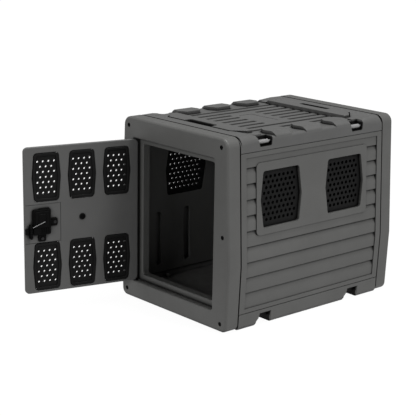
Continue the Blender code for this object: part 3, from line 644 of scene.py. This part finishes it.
def side_panel(side, sign):
    """Double-skinned wall: lap boards round a flat window plate outside, upright channels inside."""
    low_y, high_y = wall_low.y + SEAM, wall_high.y - SEAM
    z0, z1 = wall_low.z + 0.5, wall_high.z - 0.7
    heights = [z0, BULGE_Z, z1]
    outer = [(sign * half_width_at(z), z) for z in heights]
    inner = [(sign * (half_width_at(z) - WALL), z) for z in reversed(heights)]
    panel = prism(side + "_side_wall", outer + inner, low_y, high_y)
    laps = prism("laps", lap_section(sign), low_y + FIELD_INSET_Y, high_y - FIELD_INSET_Y)
    near, far = sorted((sign * (HALF_WIDTH - 60), sign * (HALF_WIDTH + 40)))
    mid_y, half = SIDE_MIDS_Y[side], PLATE_LENGTH / 2
    plate = slab(
        "plate", box_corners(mid_y - half, PLATE_BOTTOM_Z, mid_y + half, PLATE_TOP_Z),
        [PLATE_RADIUS] * 4, near, far, to_x,
    )
    cut(laps, plate)
    cut(panel, laps)
    windows = [
        slab("window", window_corners(side, end), hex_radii(WINDOW_RADIUS), near, far, to_x)
        for end in (-1, 1)
    ]
    cut(panel, *windows)
    inner_x = half_width_at(BULGE_Z) - WALL
    channels = []
    for low, high in INNER_CHANNELS:
        depths = sorted((sign * (inner_x - 20), sign * (inner_x + CHANNEL_DEPTH)))
        corners = box_corners(low, CHANNEL_Z[0], high, CHANNEL_Z[1])
        channels.append(slab("channel", corners, [8.0] * 4, *depths, to_x))
    cut(panel, *channels)
    soften(panel, 0.7, 1, 28.0)
    return complete(panel, SHELL, "shell", "shell", side + "_side_panel")


# --- perforated plates ------------------------------------------------------------------------
def hole_places(mid_u, mid_v, reach_u, reach_v):
    """Staggered hole centres; every other row is shifted by half a pitch."""
    rows = int(reach_v // HOLE_PITCH_Z)
    for row in range(-rows, rows + 1):
        shift = HOLE_PITCH_X / 2 if row % 2 else 0.0
        columns = int((reach_u + shift) // HOLE_PITCH_X)
        for column in range(-columns, columns + 1):
            u = column * HOLE_PITCH_X - shift
            if abs(u) <= reach_u:
                yield mid_u + u, mid_v + row * HOLE_PITCH_Z


def sheet(name, loops, low, high, place):
    """Flat plate with holes, from one outline and the outlines of its holes."""
    curve = bpy.data.curves.new(name, "CURVE")
    curve.dimensions = "2D"
    curve.fill_mode = "BOTH"
    curve.extrude = (high - low) / 2 * MM
    for loop in loops:
        spline = curve.splines.new("POLY")
        spline.points.add(len(loop) - 1)
        for point, (u, v) in zip(spline.points, loop):
            point.co = (u * MM, v * MM, 0.0, 1.0)
        spline.use_cyclic_u = True
    draft = bpy.data.objects.new(name, curve)
    bpy.context.scene.collection.objects.link(draft)
    bpy.context.view_layer.update()
    graph = bpy.context.evaluated_depsgraph_get()
    mesh = bpy.data.meshes.new_from_object(draft.evaluated_get(graph))
    bpy.data.objects.remove(draft)
    bpy.data.curves.remove(curve)
    middle = (low + high) / 2
    for vertex in mesh.vertices:
        u, v, depth = vertex.co / MM
        vertex.co = place(u, v, middle + depth) * MM
    work = bmesh.new()
    work.from_mesh(mesh)
    bmesh.ops.remove_doubles(work, verts=work.verts, dist=1e-6)
    bmesh.ops.recalc_face_normals(work, faces=work.faces)
    work.to_mesh(mesh)
    work.free()
    piece = bpy.data.objects.new(name, mesh)
    bpy.context.scene.collection.objects.link(piece)
    return piece


def round_hole(u, v, radius, count=16):
    angles = [2 * math.pi * step / count for step in range(count)]
    return [(u + radius * math.cos(angle), v + radius * math.sin(angle)) for angle in angles]


def side_grille(side, sign, place, end):
    """Thick perforated plate set back in a side window; it leans with the wall."""
    name = f"{side}_grille_{place}"
    mid_y = SIDE_MIDS_Y[side] + end * WINDOW_SPACING / 2
    holes = [round_hole(u, v, SIDE_HOLE_RADIUS) for u, v in hole_places(mid_y, WINDOW_Z, *SIDE_HOLE_REACH)]
    loop = outline(window_corners(side, end), hex_radii(WINDOW_RADIUS), -3.0)

    def lean(u, v, depth):
        return Vector((sign * (half_width_at(v) - MESH_BACK + depth), u, v))

    plate = sheet(name + "_mesh", [loop, *holes], -MESH_THICKNESS, 0.0, lean)
    return complete(plate, GRILLE, "shell", "grille", name)


# --- roof -------------------------------------------------------------------------------------
def roof_profile(top_z, radius):
    """Cross-section (x, z) of the roof: skirts, rounded shoulders and the top."""
    top, skirt = half_width_at(top_z), half_width_at(SKIRT_Z)
    foot_z = SKIRT_Z + 0.7
    inner = skirt - 9
    corners = [
        (skirt, foot_z), (top, top_z), (-top, top_z), (-skirt, foot_z),
        (-inner, foot_z), (-inner + 7, ROOF_UNDER_Z - 14), (-inner + 24, ROOF_UNDER_Z),
        (inner - 24, ROOF_UNDER_Z), (inner - 7, ROOF_UNDER_Z - 14), (inner, foot_z),
    ]
    return outline(corners, [0, radius, radius] + [0] * 7, 0.0, 8)


def roof_body():
    low_y, high_y = cover_low.y + SEAM, cover_high.y - SEAM
    step_z, near, far = LEDGE_Z - 5, low_y + 4, high_y - 4
    stations = [
        (low_y, step_z, 27), (near, step_z, 27), (near + 0.2, LEDGE_Z, 27),
        (-BAND_OUTER_Y, LEDGE_Z, 24), (-218, SHOULDER_Z, 15),
        (-BAND_INNER_Y, SHOULDER_Z, 13), (-BAND_INNER_Y + 0.2, DECK_Z, 10),
        (BAND_INNER_Y - 0.2, DECK_Z, 10), (BAND_INNER_Y, SHOULDER_Z, 13), (218, SHOULDER_Z, 15),
        (BAND_OUTER_Y, LEDGE_Z, 24), (far - 0.2, LEDGE_Z, 27), (far, step_z, 27), (high_y, step_z, 27),
    ]
    rings = [[to_y(u, v, y) for u, v in roof_profile(top_z, radius)] for y, top_z, radius in stations]
    return loft("roof_cover", rings)


def cross_band(end, outset=0.0, low=558.0, high=BAND_TOP_Z):
    """Raised plate across an end of the roof, with chamfered corners."""
    corners = [
        (-BAND_OUTER_X, -BAND_OUTER_Y), (BAND_OUTER_X, -BAND_OUTER_Y),
        (BAND_INNER_X, -BAND_OUTER_Y + BAND_INNER_X - BAND_OUTER_X), (BAND_INNER_X, -BAND_INNER_Y - 2),
        (-BAND_INNER_X, -BAND_INNER_Y - 2), (-BAND_INNER_X, -BAND_OUTER_Y + BAND_INNER_X - BAND_OUTER_X),
    ]
    if end > 0:
        corners = [(x, -y) for x, y in reversed(corners)]
    return slab(
        "band", inset_corners(corners, -outset), [3.0] * 6, low, high, to_z,
        round_high=0.0 if outset else 1.6, steps=3,
    )


def pad_plan(sign, low_y, high_y, outset=0.0, low=540.0):
    """Plan of an edge pad, which comes to a point at each end."""
    corners = [
        (PAD_INNER_X, low_y + 14), (PAD_POINT_X, low_y), (PAD_OUTER_X, low_y + 16),
        (PAD_OUTER_X, high_y - 16), (PAD_POINT_X, high_y), (PAD_INNER_X, high_y - 14),
    ]
    if sign < 0:
        corners = [(-x, y) for x, y in reversed(corners)]
    return slab("pad_plan", inset_corners(corners, -outset), [1.5] * 6, low, 600, to_z, steps=2)


def edge_pad(sign, low_y, high_y):
    """Raised pad on a long edge: it follows the rounded shoulder."""
    def section(y):
        top = half_width_at(PAD_TOP_Z) - 0.2
        foot = half_width_at(536) - 0.2
        corners = [(160, 536), (foot, 536), (top, PAD_TOP_Z - 10), (top - 16, PAD_TOP_Z), (160, PAD_TOP_Z)]
        points = outline(corners, [0, 0, 9, 14, 2], 0.0, 6)
        return [to_y(sign * u, v, y) for u, v in points]

    pad = loft("pad", [section(low_y - 5), section(high_y + 5)])
    return meet(pad, pad_plan(sign, low_y, high_y))


def roof_grooves():
    """Lengthways grooves; the middle ones stop at a plain plate with its own fine outline."""
    top = DECK_Z + 20
    floor_z = DECK_Z - GROOVE_DEPTH
    near, far = -BAND_INNER_Y + 3, BAND_INNER_Y - 3
    for index in range(-GROOVE_REACH, GROOVE_REACH + 1):
        low_x, high_x = index * GROOVE_PITCH - GROOVE_WIDTH / 2, index * GROOVE_PITCH + GROOVE_WIDTH / 2
        runs = [(near, far)] if abs(index) > 2 else [(near, PLAIN_PLATE_Y[0]), (PLAIN_PLATE_Y[1], far)]
        for low_y, high_y in runs:
            yield box("groove", (low_x, low_y, floor_z), (high_x, high_y, top), 3.0)
    for end in (-1, 1):
        low_y, high_y = sorted((end * (BAND_INNER_Y - 6), end * (BAND_INNER_Y + 1)))
        yield box("crease", (-BAND_INNER_X + 6, low_y, floor_z - 1), (BAND_INNER_X - 6, high_y, top))
    yield box("plate_line", (-60.2, -34, DECK_Z - 3), (-57.6, 18, top))
    yield box("plate_line", (-60.2, 15.6, DECK_Z - 3), (63, 18.2, top))


def tie_corners(mid_y, inset, top_z):
    """Outline of a tie-down pocket: sides that lean outwards above a flat floor."""
    share = (top_z - TIE_FLOOR_Z) / (TIE_TOP_Z - TIE_FLOOR_Z)
    low_y = mid_y - TIE_HALF_LENGTH + TIE_FRONT_LEAN + inset
    high_y = mid_y + TIE_HALF_LENGTH - TIE_REAR_LEAN - inset
    floor_z = TIE_FLOOR_Z + inset
    return [
        (low_y, floor_z), (high_y, floor_z),
        (high_y + TIE_REAR_LEAN * share, top_z), (low_y - TIE_FRONT_LEAN * share, top_z),
    ]


def roof_cover():
    roof = roof_body()
    moats = [cross_band(end, 4.5, SHOULDER_Z - 5, 600.0) for end in (-1, 1)]
    moats += [
        pad_plan(sign, low_y, high_y, 3.0, SHOULDER_Z - 5)
        for sign in (-1, 1) for low_y, high_y in PAD_RANGES
    ]
    cut(roof, *moats)
    additions = [cross_band(-1), cross_band(1)]
    for sign in (-1, 1):
        additions += [edge_pad(sign, low_y, high_y) for low_y, high_y in PAD_RANGES]
    pockets = []
    for end in (-1, 1):
        low_y, high_y = sorted((end * (HANDHOLD_INNER_Y - 10), end * (HANDHOLD_OUTER_Y + 10)))
        additions.append(box("well", (-74, low_y, HANDHOLD_FLOOR_Z - 6), (74, high_y, 566)))
        low_y, high_y = sorted((end * HANDHOLD_INNER_Y, end * HANDHOLD_OUTER_Y))
        half = HANDHOLD_HALF_WIDTH
        pockets.append(box("pocket", (-half, low_y, HANDHOLD_FLOOR_Z), (half, high_y, 600), 9.0))
    for sign in (-1, 1):
        for mid_y in TIE_CENTRES_Y:
            near, far = sorted((sign * (TIE_INNER_X - 8), sign * 231))
            additions.append(box("tie_block", (near, mid_y - 41, 531), (far, mid_y + 41, 560)))
            near, far = sorted((sign * TIE_INNER_X, sign * 270))
            corners = tie_corners(mid_y, 0.0, TIE_TOP_Z)
            pockets.append(slab("tie_pocket", corners, [4, 4, 0, 0], near, far, to_x, steps=3))
    join(roof, *additions)
    cut(roof, *pockets)
    cut(roof, *roof_grooves())
    soften(roof, 1.3, 2, 32.0)
    return complete(roof, ROOF, "shell", "roof", "top_cover")


def handhold_shade_cup(place, end):
    """Thin black cup in a hand-hold, standing in for the shade inside it."""
    wall, half = SHADE_SHEET_WALL, HANDHOLD_HALF_WIDTH - 0.4
    low_y, high_y = sorted((end * (HANDHOLD_INNER_Y + 0.4), end * (HANDHOLD_OUTER_Y - 0.4)))
    floor_z = HANDHOLD_FLOOR_Z + 0.3
    shade_sheet_low, shade_sheet_high = (-half, low_y, floor_z), (half, high_y, HANDHOLD_SHADE_TOP_Z)
    shade_sheet = box(f"{place}_handhold_shade_cup", shade_sheet_low, shade_sheet_high, 8.6)
    room_low = (wall - half, low_y + wall, floor_z + wall)
    cut(shade_sheet, box("room", room_low, (half - wall, high_y - wall, 590), 7.2))
    return complete(shade_sheet, GRILLE, "shell", "grille")


def tie_shade_trough(side, sign, place, mid_y):
    """Thin black trough in a tie-down pocket, open outwards and upwards, standing in for the shade inside
    the pocket.
    """
    near, far = sorted((sign * (TIE_INNER_X + 0.3), sign * TIE_SHADE_OUTER_X))
    shade_sheet = slab(
        f"{side}_{place}_tie_shade_trough", tie_corners(mid_y, 0.3, TIE_SHADE_TOP_Z), [3.7, 3.7, 0, 0],
        near, far, to_x, steps=3,
    )
    inset = 0.3 + SHADE_SHEET_WALL
    near, far = sorted((sign * (TIE_INNER_X + inset), sign * 240))
    room = slab("room", tie_corners(mid_y, inset, 580.0), [2.3, 2.3, 0, 0], near, far, to_x, steps=3)
    cut(shade_sheet, room)
    return complete(shade_sheet, GRILLE, "shell", "grille")


def tie_bar(side, sign, place, mid_y):
    """Round tie-down bar with a domed end on a thinner dark pin."""
    x, z = sign * TIE_BAR[0], TIE_BAR[1]
    end_y = mid_y + 18
    bar = rod("tie_bar", (x, mid_y - TIE_HALF_LENGTH + 0.5, z), (x, end_y, z), 6.5, 28, 1.6)
    pin = rod("tie_pin", (x, end_y - 2, z), (x, mid_y + TIE_HALF_LENGTH - 3, z), 3.4, 20)
    join(bar, pin)
    bar.name = f"{side}_{place}_tie_down_bar"
    return complete(bar, BAR, "shell", "bar", f"tie_bar_{side}_{place}")


# --- base -------------------------------------------------------------------------------------
def base_tray():
    """Tray with thick rims, a raised floor and lengthways runners, notched for straps."""
    low_y, high_y = tray_low.y + SEAM, tray_high.y - SEAM
    foot, knee = half_width_at(0) - 6, half_width_at(8)
    top_z = BASE_TOP_Z - 0.8
    top = half_width_at(top_z)
    half = [
        (RUNNER_X[0], FLOOR_UNDER_Z), (RUNNER_X[0], 0.0), (RUNNER_X[1], 0.0), (RUNNER_X[1], FLOOR_UNDER_Z),
        (foot - BASE_WALL, FLOOR_UNDER_Z), (foot - BASE_WALL, 0.0), (foot, 0.0), (knee, 8.0),
        (top, top_z), (top - BASE_WALL, top_z), (top - BASE_WALL - 6, FLOOR_TOP_Z),
    ]
    points = half + [(-x, z) for x, z in reversed(half)]
    tray = prism("base", points, low_y, high_y)
    notches = []
    for mid_y in BASE_NOTCHES_Y:
        reach = BASE_NOTCH_HALF_LENGTH
        corners = [
            (mid_y - reach - 3, -6), (mid_y + reach, -6), (mid_y + reach, BASE_NOTCH_TOP_Z),
            (mid_y - reach + 9, BASE_NOTCH_TOP_Z), (mid_y - reach, BASE_NOTCH_TOP_Z - 9),
        ]
        notches.append(prism("notch", corners, -HALF_WIDTH - 20, HALF_WIDTH + 20, to_x))
        corners = [
            (mid_y - reach + 9, BASE_NOTCH_TOP_Z - 2), (mid_y + reach, BASE_NOTCH_TOP_Z - 2),
            (mid_y + reach, BASE_RECESS_TOP_Z), (mid_y - reach + 14, BASE_RECESS_TOP_Z),
        ]
        for sign in (-1, 1):
            near, far = sorted((sign * (foot - BASE_RECESS_DEPTH), sign * (HALF_WIDTH + 20)))
            notches.append(prism("recess", corners, near, far, to_x))
    cut(tray, *notches)
    bosses = [
        rod("boss", (sign * BOSS_X, y, FLOOR_TOP_Z - 4), (sign * BOSS_X, y, FLOOR_TOP_Z + 13), 7.5, 20, 3.0)
        for sign in (-1, 1) for y in (-BOSS_Y, BOSS_Y)
    ]
    join(tray, *bosses)
    soften(tray, 1.5, 2, 32.0)
    return complete(tray, SHELL, "shell", "shell", "base_tray")


def strap_channel_shade(side, sign, place, mid_y):
    """Walls of the channel that a strap runs through, inwards from a notch in the base, in black to stand
    in for the shade there.
    """
    near_y, far_y = mid_y - BASE_NOTCH_HALF_LENGTH, mid_y + BASE_NOTCH_HALF_LENGTH
    foot = half_width_at(0) - 6
    x0, x1 = sorted((sign * STRAP_SHADE_INNER_X, sign * (foot - 0.8)))
    back0, back1 = sorted((sign * (foot - BASE_RECESS_DEPTH - 1), sign * (foot - BASE_RECESS_DEPTH + 1)))
    top_z, recess_z = BASE_NOTCH_TOP_Z - 0.4, BASE_RECESS_TOP_Z - 0.4
    channel = box(f"{side}_{place}_strap_channel_shade", (x0, far_y - 0.8, 0.8), (x1, far_y + 5, top_z))
    upper0, upper1 = sorted((sign * (foot - BASE_RECESS_DEPTH), sign * (foot + 1.5)))
    join(
        channel,
        box("front_wall", (x0, near_y - 6, 0.8), (x1, near_y - 1.6, BASE_NOTCH_TOP_Z - 10)),
        box("upper_wall", (upper0, far_y - 0.8, top_z - 2), (upper1, far_y + 4, recess_z)),
        box("back", (back0, near_y + 12, top_z - 2), (back1, far_y + 2, recess_z)),
    )
    return complete(channel, GRILLE, "shell", "grille")


# --- rear panel -------------------------------------------------------------------------------
def rear_window(sign):
    return hexagon(
        sign * REAR_WINDOW_X, REAR_WINDOW_Z, REAR_WINDOW_MID_WIDTH, REAR_WINDOW_END_WIDTH, WINDOW_HEIGHT,
    )


def rear_panel():
    """Panel in the rear frame: two windows above, lap boards below."""
    low, high = node_box("rear_panel")
    panel = slab("rear_wall", box_corners(low.x, low.z, high.x, high.z), [4.5] * 4, low.y, high.y, to_y)
    windows = [
        slab("window", rear_window(sign), hex_radii(WINDOW_RADIUS), low.y - 4, high.y, to_y,
             round_high=2.5, flare=-1)
        for sign in (-1, 1)
    ]
    cut(panel, *windows)
    steps = []
    for index in range(REAR_LAP_COUNT):
        z = REAR_LAP_LOWEST_Z + index * LAP_PITCH
        section = [
            (high.y + 4, z - 3), (high.y + 4, z + 1), (high.y - REAR_LAP_DEPTH, z), (high.y, z - LAP_SLOPE),
        ]
        steps.append(prism("lap", section, low.x + 22, high.x - 22, to_x))
    cut(panel, *steps)
    soften(panel, 0.9, 2, 24.0)
    return complete(panel, SHELL, "shell", "shell", "rear_panel")


def rear_grille(side, sign):
    low, high = node_box(f"rear_grille_{side}")
    holes = [
        round_hole(u, v, REAR_HOLE_RADIUS)
        for u, v in hole_places(sign * REAR_WINDOW_X, REAR_WINDOW_Z, *REAR_HOLE_REACH)
    ]
    loop = outline(rear_window(sign), hex_radii(WINDOW_RADIUS), 0.4)
    plate = sheet(f"{side}_rear_mesh", [loop, *holes], low.y - 2.0, high.y, to_y)
    return complete(plate, GRILLE, "shell", "grille", f"rear_grille_{side}")


# --- door -------------------------------------------------------------------------------------
def swing(piece):
    """Turns a piece made for the closed door to the door's open rest position."""
    hinge = Matrix.Translation(Vector((*DOOR_AXIS, 0.0)) * MM)
    piece.data.transform(hinge @ Matrix.Rotation(-math.radians(DOOR_REST_ANGLE), 4, "Z"))
    return piece


def vent_places():
    for row, z in zip(("lower", "upper"), VENT_ROWS_Z):
        for column in (-1, 0, 1):
            yield f"{row}_{column + 2}", DOOR_MID_X + column * VENT_PITCH, z


def vent_corners(x, z):
    return hexagon(x, z, VENT_MID_WIDTH, VENT_END_WIDTH, VENT_HEIGHT)


def door_panel():
    """Flat door with rounded rims, six flared vent openings and a fine line round the latch."""
    half = DOOR_THICKNESS / 2
    panel = slab(
        "door_leaf", box_corners(DOOR_MIN_X, DOOR_BOTTOM_Z, DOOR_MAX_X, DOOR_TOP_Z), [DOOR_RADIUS] * 4,
        -half, half, to_y, 3.0, 3.0, steps=8,
    )
    vents = [
        slab(
            "vent", vent_corners(x, z), hex_radii(VENT_RADIUS), -half, half, to_y, 2.0, VENT_FLARE,
            flare=-1,
        )
        for _, x, z in vent_places()
    ]
    cut(panel, *vents)
    lines = [
        (LATCH_FIELD[0], LATCH_FIELD[1], LATCH_FIELD[2], LATCH_FIELD[1] + 1.4),
        (LATCH_FIELD[0], LATCH_FIELD[3] - 1.4, LATCH_FIELD[2], LATCH_FIELD[3]),
        (LATCH_FIELD[0], LATCH_FIELD[1], LATCH_FIELD[0] + 1.4, LATCH_FIELD[3]),
    ]
    cut(panel, *[slab("line", box_corners(*line), [0] * 4, half - 1.0, half + 4) for line in lines])
    bores = [
        rod("pin_bore", (0, 0, DOOR_BOTTOM_Z - 5), (0, 0, DOOR_BOTTOM_Z + 14), 3.4),
        rod("pin_bore", (0, 0, DOOR_TOP_Z - 14), (0, 0, DOOR_TOP_Z + 5), 3.4),
        rod("spindle_bore", (SPINDLE[0], -20, SPINDLE[1]), (SPINDLE[0], 20, SPINDLE[1]), 5.4),
    ]
    cut(panel, *bores)
    return complete(swing(panel), DOOR, "door", "door", "door_panel")


def door_vent(name, x, z):
    """Black vent insert: a raised rim round a perforated plate."""
    half = DOOR_THICKNESS / 2
    corners = vent_corners(x, z)
    rim = slab(
        "rim", inset_corners(corners, 0.35), hex_radii(VENT_RADIUS - 0.3), -half + 0.6, half + RIM_RISE,
        to_y, 1.0, 1.8,
    )
    inside = inset_corners(corners, RIM_WIDTH)
    rim_hole = slab(
        "rim_hole", inside, hex_radii(5.0), -half + 0.6, half + RIM_RISE, to_y, 1.0, 2.0, flare=-1,
    )
    cut(rim, rim_hole)
    holes = [round_hole(u, v, VENT_HOLE_RADIUS) for u, v in hole_places(x, z, *VENT_HOLE_REACH)]
    loop = outline(corners, hex_radii(VENT_RADIUS), RIM_WIDTH - 3.0)
    join(rim, sheet("perforated", [loop, *holes], -4.2, 3.6, to_y))
    rim.name = f"vent_{name}"
    return complete(swing(rim), GRILLE, "door", "grille", f"door_grille_{name}")


def door_plug():
    """Round plug with a raised ring."""
    y = DOOR_THICKNESS / 2
    plug = rod("plug", (PLUG[0], y, PLUG[1]), (PLUG[0], y + 3.2, PLUG[1]), 9.5, 32, 1.2)
    dish = rod("dish", (PLUG[0], y + 1.4, PLUG[1]), (PLUG[0], y + 6, PLUG[1]), 5.4, 24)
    cut(plug, dish)
    plug.name = "round_plug"
    return complete(swing(plug), LATCH, "door", "latch", "door_plug")


# --- latch ------------------------------------------------------------------------------------
LATCH_BASE_Y = DOOR_THICKNESS / 2 + GAP


def raised(name, u0, v0, u1, v1, low, high, radius=3.0, edge=1.2):
    """Block on the door's inner face, with rounded upright and top edges."""
    return slab(
        name, box_corners(u0, v0, u1, v1), [radius] * 4, LATCH_BASE_Y + low, LATCH_BASE_Y + high, to_y,
        round_high=edge, steps=4,
    )


def latch_housing():
    """Stepped latch box with ribs, a fixing tab and a tongue."""
    left, bottom, right, top = LATCH_BOX
    housing = raised("latch_box", left, bottom, right, top, 0, 9.0, 4.0)
    extras = [
        raised("boss", left + 6, bottom + 22, right - 5, top - 5, 5, 11.5, 4.0, 1.5),
        raised("crown", left + 16, bottom + 34, right - 16, top - 12, 8, 13.5, 5.0, 2.0),
        raised("tab", left - 23, 266, left + 5, 290, 0.2, 4.0, 5.0),
        raised("tab_web", left - 10, 272, left + 5, 284, 0.2, 6.4, 2.0),
        raised("tongue", 296, 221, 320, bottom + 5, 0.2, 4.0, 5.0),
        raised("lip", left + 2, top - 4, right - 20, top + 3, 0.2, 6.0, 1.5),
    ]
    extras += [raised("rib", left + 2 + step, bottom + 3, left + 4 + step, bottom + 24, 5, 10.4, 0.8, 0.6)
               for step in (4, 11, 18, 25)]
    join(housing, *extras)
    channel = slab(
        "channel", box_corners(left + 8, bottom + 2.4, right + 10, bottom + 19.6), [0] * 4,
        LATCH_BASE_Y - 5, LATCH_BASE_Y + 7,
    )
    x, z = SPINDLE
    room = rod("room", (x, LATCH_BASE_Y - 5, z), (x, LATCH_BASE_Y + 7.4, z), 12.0)
    bores = [
        rod("bore", (x, LATCH_BASE_Y - 5, z), (x, LATCH_BASE_Y + 10, z), 2.6)
        for x, z in ((left - 14, 278), (308.0, 230))
    ]
    cut(housing, channel, room, *bores)
    housing.name = "latch_case"
    return complete(swing(housing), LATCH, "door", "latch", "latch_housing")


def latch_bolt():
    """Bolt bar with a ribbed finger lever."""
    left, bottom, right, _ = LATCH_BOX
    bolt = slab(
        "bolt", box_corners(left + 10, bottom + 3, BOLT_TIP_X, bottom + 19), [2.0] * 4,
        LATCH_BASE_Y + 0.3, LATCH_BASE_Y + 6.6, to_y, 0.8, 0.8, steps=3,
    )
    lever = raised("lever", right + 3, bottom - 11, right + 11, bottom + 33, 1, 12.0, 3.0, 2.0)
    ribs = [
        raised("grip_rib", right + 2.4, rib_z, right + 11.6, rib_z + 3, 6, 13.2, 1.0, 0.8)
        for rib_z in range(int(bottom) - 6, int(bottom) + 23, 7)
    ]
    join(bolt, lever, *ribs)
    bolt.name = "sliding_bolt"
    return complete(swing(bolt), LATCH, "latch_bolt", "latch", "latch_bolt")


def pull_rod():
    y = LATCH_BASE_Y + 13.5
    start = (LATCH_BOX[2] + 3, y, LATCH_BOX[1] + 26)
    end = (LATCH_BOX[0] + 20, y + 1, LATCH_BOX[1] + 41)
    wire = rod("pull_wire", start, end, 1.1, 14, 0.4)
    return complete(swing(wire), BAR, "latch_bolt", "bar", "latch_pull_rod")


def outer_handle():
    """Turn handle on the door's outer face: a rose, a waisted grip and the spindle."""
    x, z = SPINDLE
    face = -DOOR_THICKNESS / 2 - GAP
    handle = rod("rose", (x, face - 5, z), (x, face, z), 21.0, 48, 1.5)
    grip = slab("grip", hexagon(x, z, 15.0, 11.0, 60.0), hex_radii(4.5), face - 20, face - 4, to_y, 3.0, 0)
    spindle = rod("spindle", (x, face - 2, z), (x, DOOR_THICKNESS / 2 + 7.0, z), 5.0, 20)
    join(handle, grip, spindle)
    soften(handle, 0.7, 2, 40.0)
    handle.name = "turn_handle"
    return complete(swing(handle), LATCH, "latch_handle", "latch", "latch_handle")


# --- build ------------------------------------------------------------------------------------
end_frame("front_frame", FRONT_Y, FRONT_SEAM_Y)
end_frame("rear_frame", REAR_Y, REAR_SEAM_Y)
for side_name, side_sign in (("left", -1), ("right", 1)):
    side_panel(side_name, side_sign)
    for place_name, end_sign in (("front", -1), ("rear", 1)):
        side_grille(side_name, side_sign, place_name, end_sign)
    for place_name, notch_y in zip(("front", "rear"), BASE_NOTCHES_Y):
        strap_channel_shade(side_name, side_sign, place_name, notch_y)
    for place_name, tie_y in zip(("front", "rear"), TIE_CENTRES_Y):
        tie_bar(side_name, side_sign, place_name, tie_y)
        tie_shade_trough(side_name, side_sign, place_name, tie_y)
    rear_grille(side_name, side_sign)
rear_panel()
roof_cover()
# Black cups that stand in for the shade inside the hand-holds.
handhold_shade_cup("front", -1)
handhold_shade_cup("rear", 1)
base_tray()
door_panel()
for vent_name, vent_x, vent_z in vent_places():
    door_vent(vent_name, vent_x, vent_z)
door_plug()
latch_housing()
latch_bolt()
pull_rod()
outer_handle()


# --- finishes for the CAD nodes that stay ------------------------------------------------------
SLOT_MATERIALS = {
    "shell": SHELL, "roof": ROOF, "door": DOOR, "grille": GRILLE, "latch": LATCH,
    "fastener": SCREW, "bar": BAR,
}


def node_slots():
    return {part["node"]: part["material_slot"] for part in frame["record"]["subparts"]}


for node_name, slot_name in node_slots().items():
    node = frame["nodes"][node_name]
    # Hinge pins look like the screws, whatever their slot.
    finish = SCREW if node_name.startswith("hinge_pin") else SLOT_MATERIALS[slot_name]
    node.data.materials.clear()
    node.data.materials.append(finish)


# --- stage, light, camera ----------------------------------------------------------------------
def stage_floor():
    size = 60.0
    work = bmesh.new()
    bmesh.ops.create_grid(work, x_segments=1, y_segments=1, size=size)
    mesh = bpy.data.meshes.new("floor")
    work.to_mesh(mesh)
    work.free()
    floor = bpy.data.objects.new("floor", mesh)
    bpy.context.scene.collection.objects.link(floor)
    material = bpy.data.materials.new("floor_white")
    material.use_nodes = True
    shader = material.node_tree.nodes["Principled BSDF"]
    shader.inputs["Base Color"].default_value = (0.03, 0.03, 0.03, 1.0)
    shader.inputs["Roughness"].default_value = 0.9
    shader.inputs["Specular IOR Level"].default_value = 0.0
    shader.inputs["Emission Color"].default_value = (1.0, 1.0, 1.0, 1.0)
    shader.inputs["Emission Strength"].default_value = 0.96
    mesh.materials.append(material)


def soft_sun(name, strength, spread_degrees, toward):
    """Distant soft light; toward is the direction that it comes from."""
    sun = bpy.data.lights.new(name, "SUN")
    sun.energy = strength
    sun.angle = math.radians(spread_degrees)
    lamp = bpy.data.objects.new(name, sun)
    lamp.rotation_mode = "QUATERNION"
    lamp.rotation_quaternion = Vector(toward).to_track_quat("Z", "Y")
    bpy.context.scene.collection.objects.link(lamp)


def studio_light():
    world = bpy.data.worlds.new("studio")
    world.use_nodes = True
    background = world.node_tree.nodes["Background"]
    background.inputs["Color"].default_value = (1.0, 1.0, 1.0, 1.0)
    background.inputs["Strength"].default_value = 0.3
    bpy.context.scene.world = world
    soft_sun("overhead", 3.9, 20.0, (0.05, 0.10, 1.0))
    soft_sun("right_fill", 1.7, 12.0, (0.62, 0.22, 0.75))
    soft_sun("right_low", 0.75, 25.0, (0.88, 0.33, 0.20))
    soft_sun("front_left", 0.5, 35.0, (-0.50, -0.70, 0.50))
    soft_sun("front_fill", 1.25, 14.0, (0.25, -0.90, 0.35))


def camera():
    data = bpy.data.cameras.new("camera")
    data.sensor_width = 36.0
    data.lens = 109.5
    data.clip_end = 200.0
    eye = bpy.data.objects.new("camera", data)
    bpy.context.scene.collection.objects.link(eye)
    azimuth, downward, roll = math.radians(48.41), math.radians(14.52), math.radians(1.04)
    eye.matrix_world = (
        Matrix.Translation((2.7894, -2.6849, 1.2722))
        @ Matrix.Rotation(azimuth, 4, "Z")
        @ Matrix.Rotation(math.radians(90) - downward, 4, "X")
        @ Matrix.Rotation(roll, 4, "Z")
    )
    bpy.context.scene.camera = eye


stage_floor()
studio_light()
camera()
bpy.context.scene.view_settings.view_transform = "Standard"
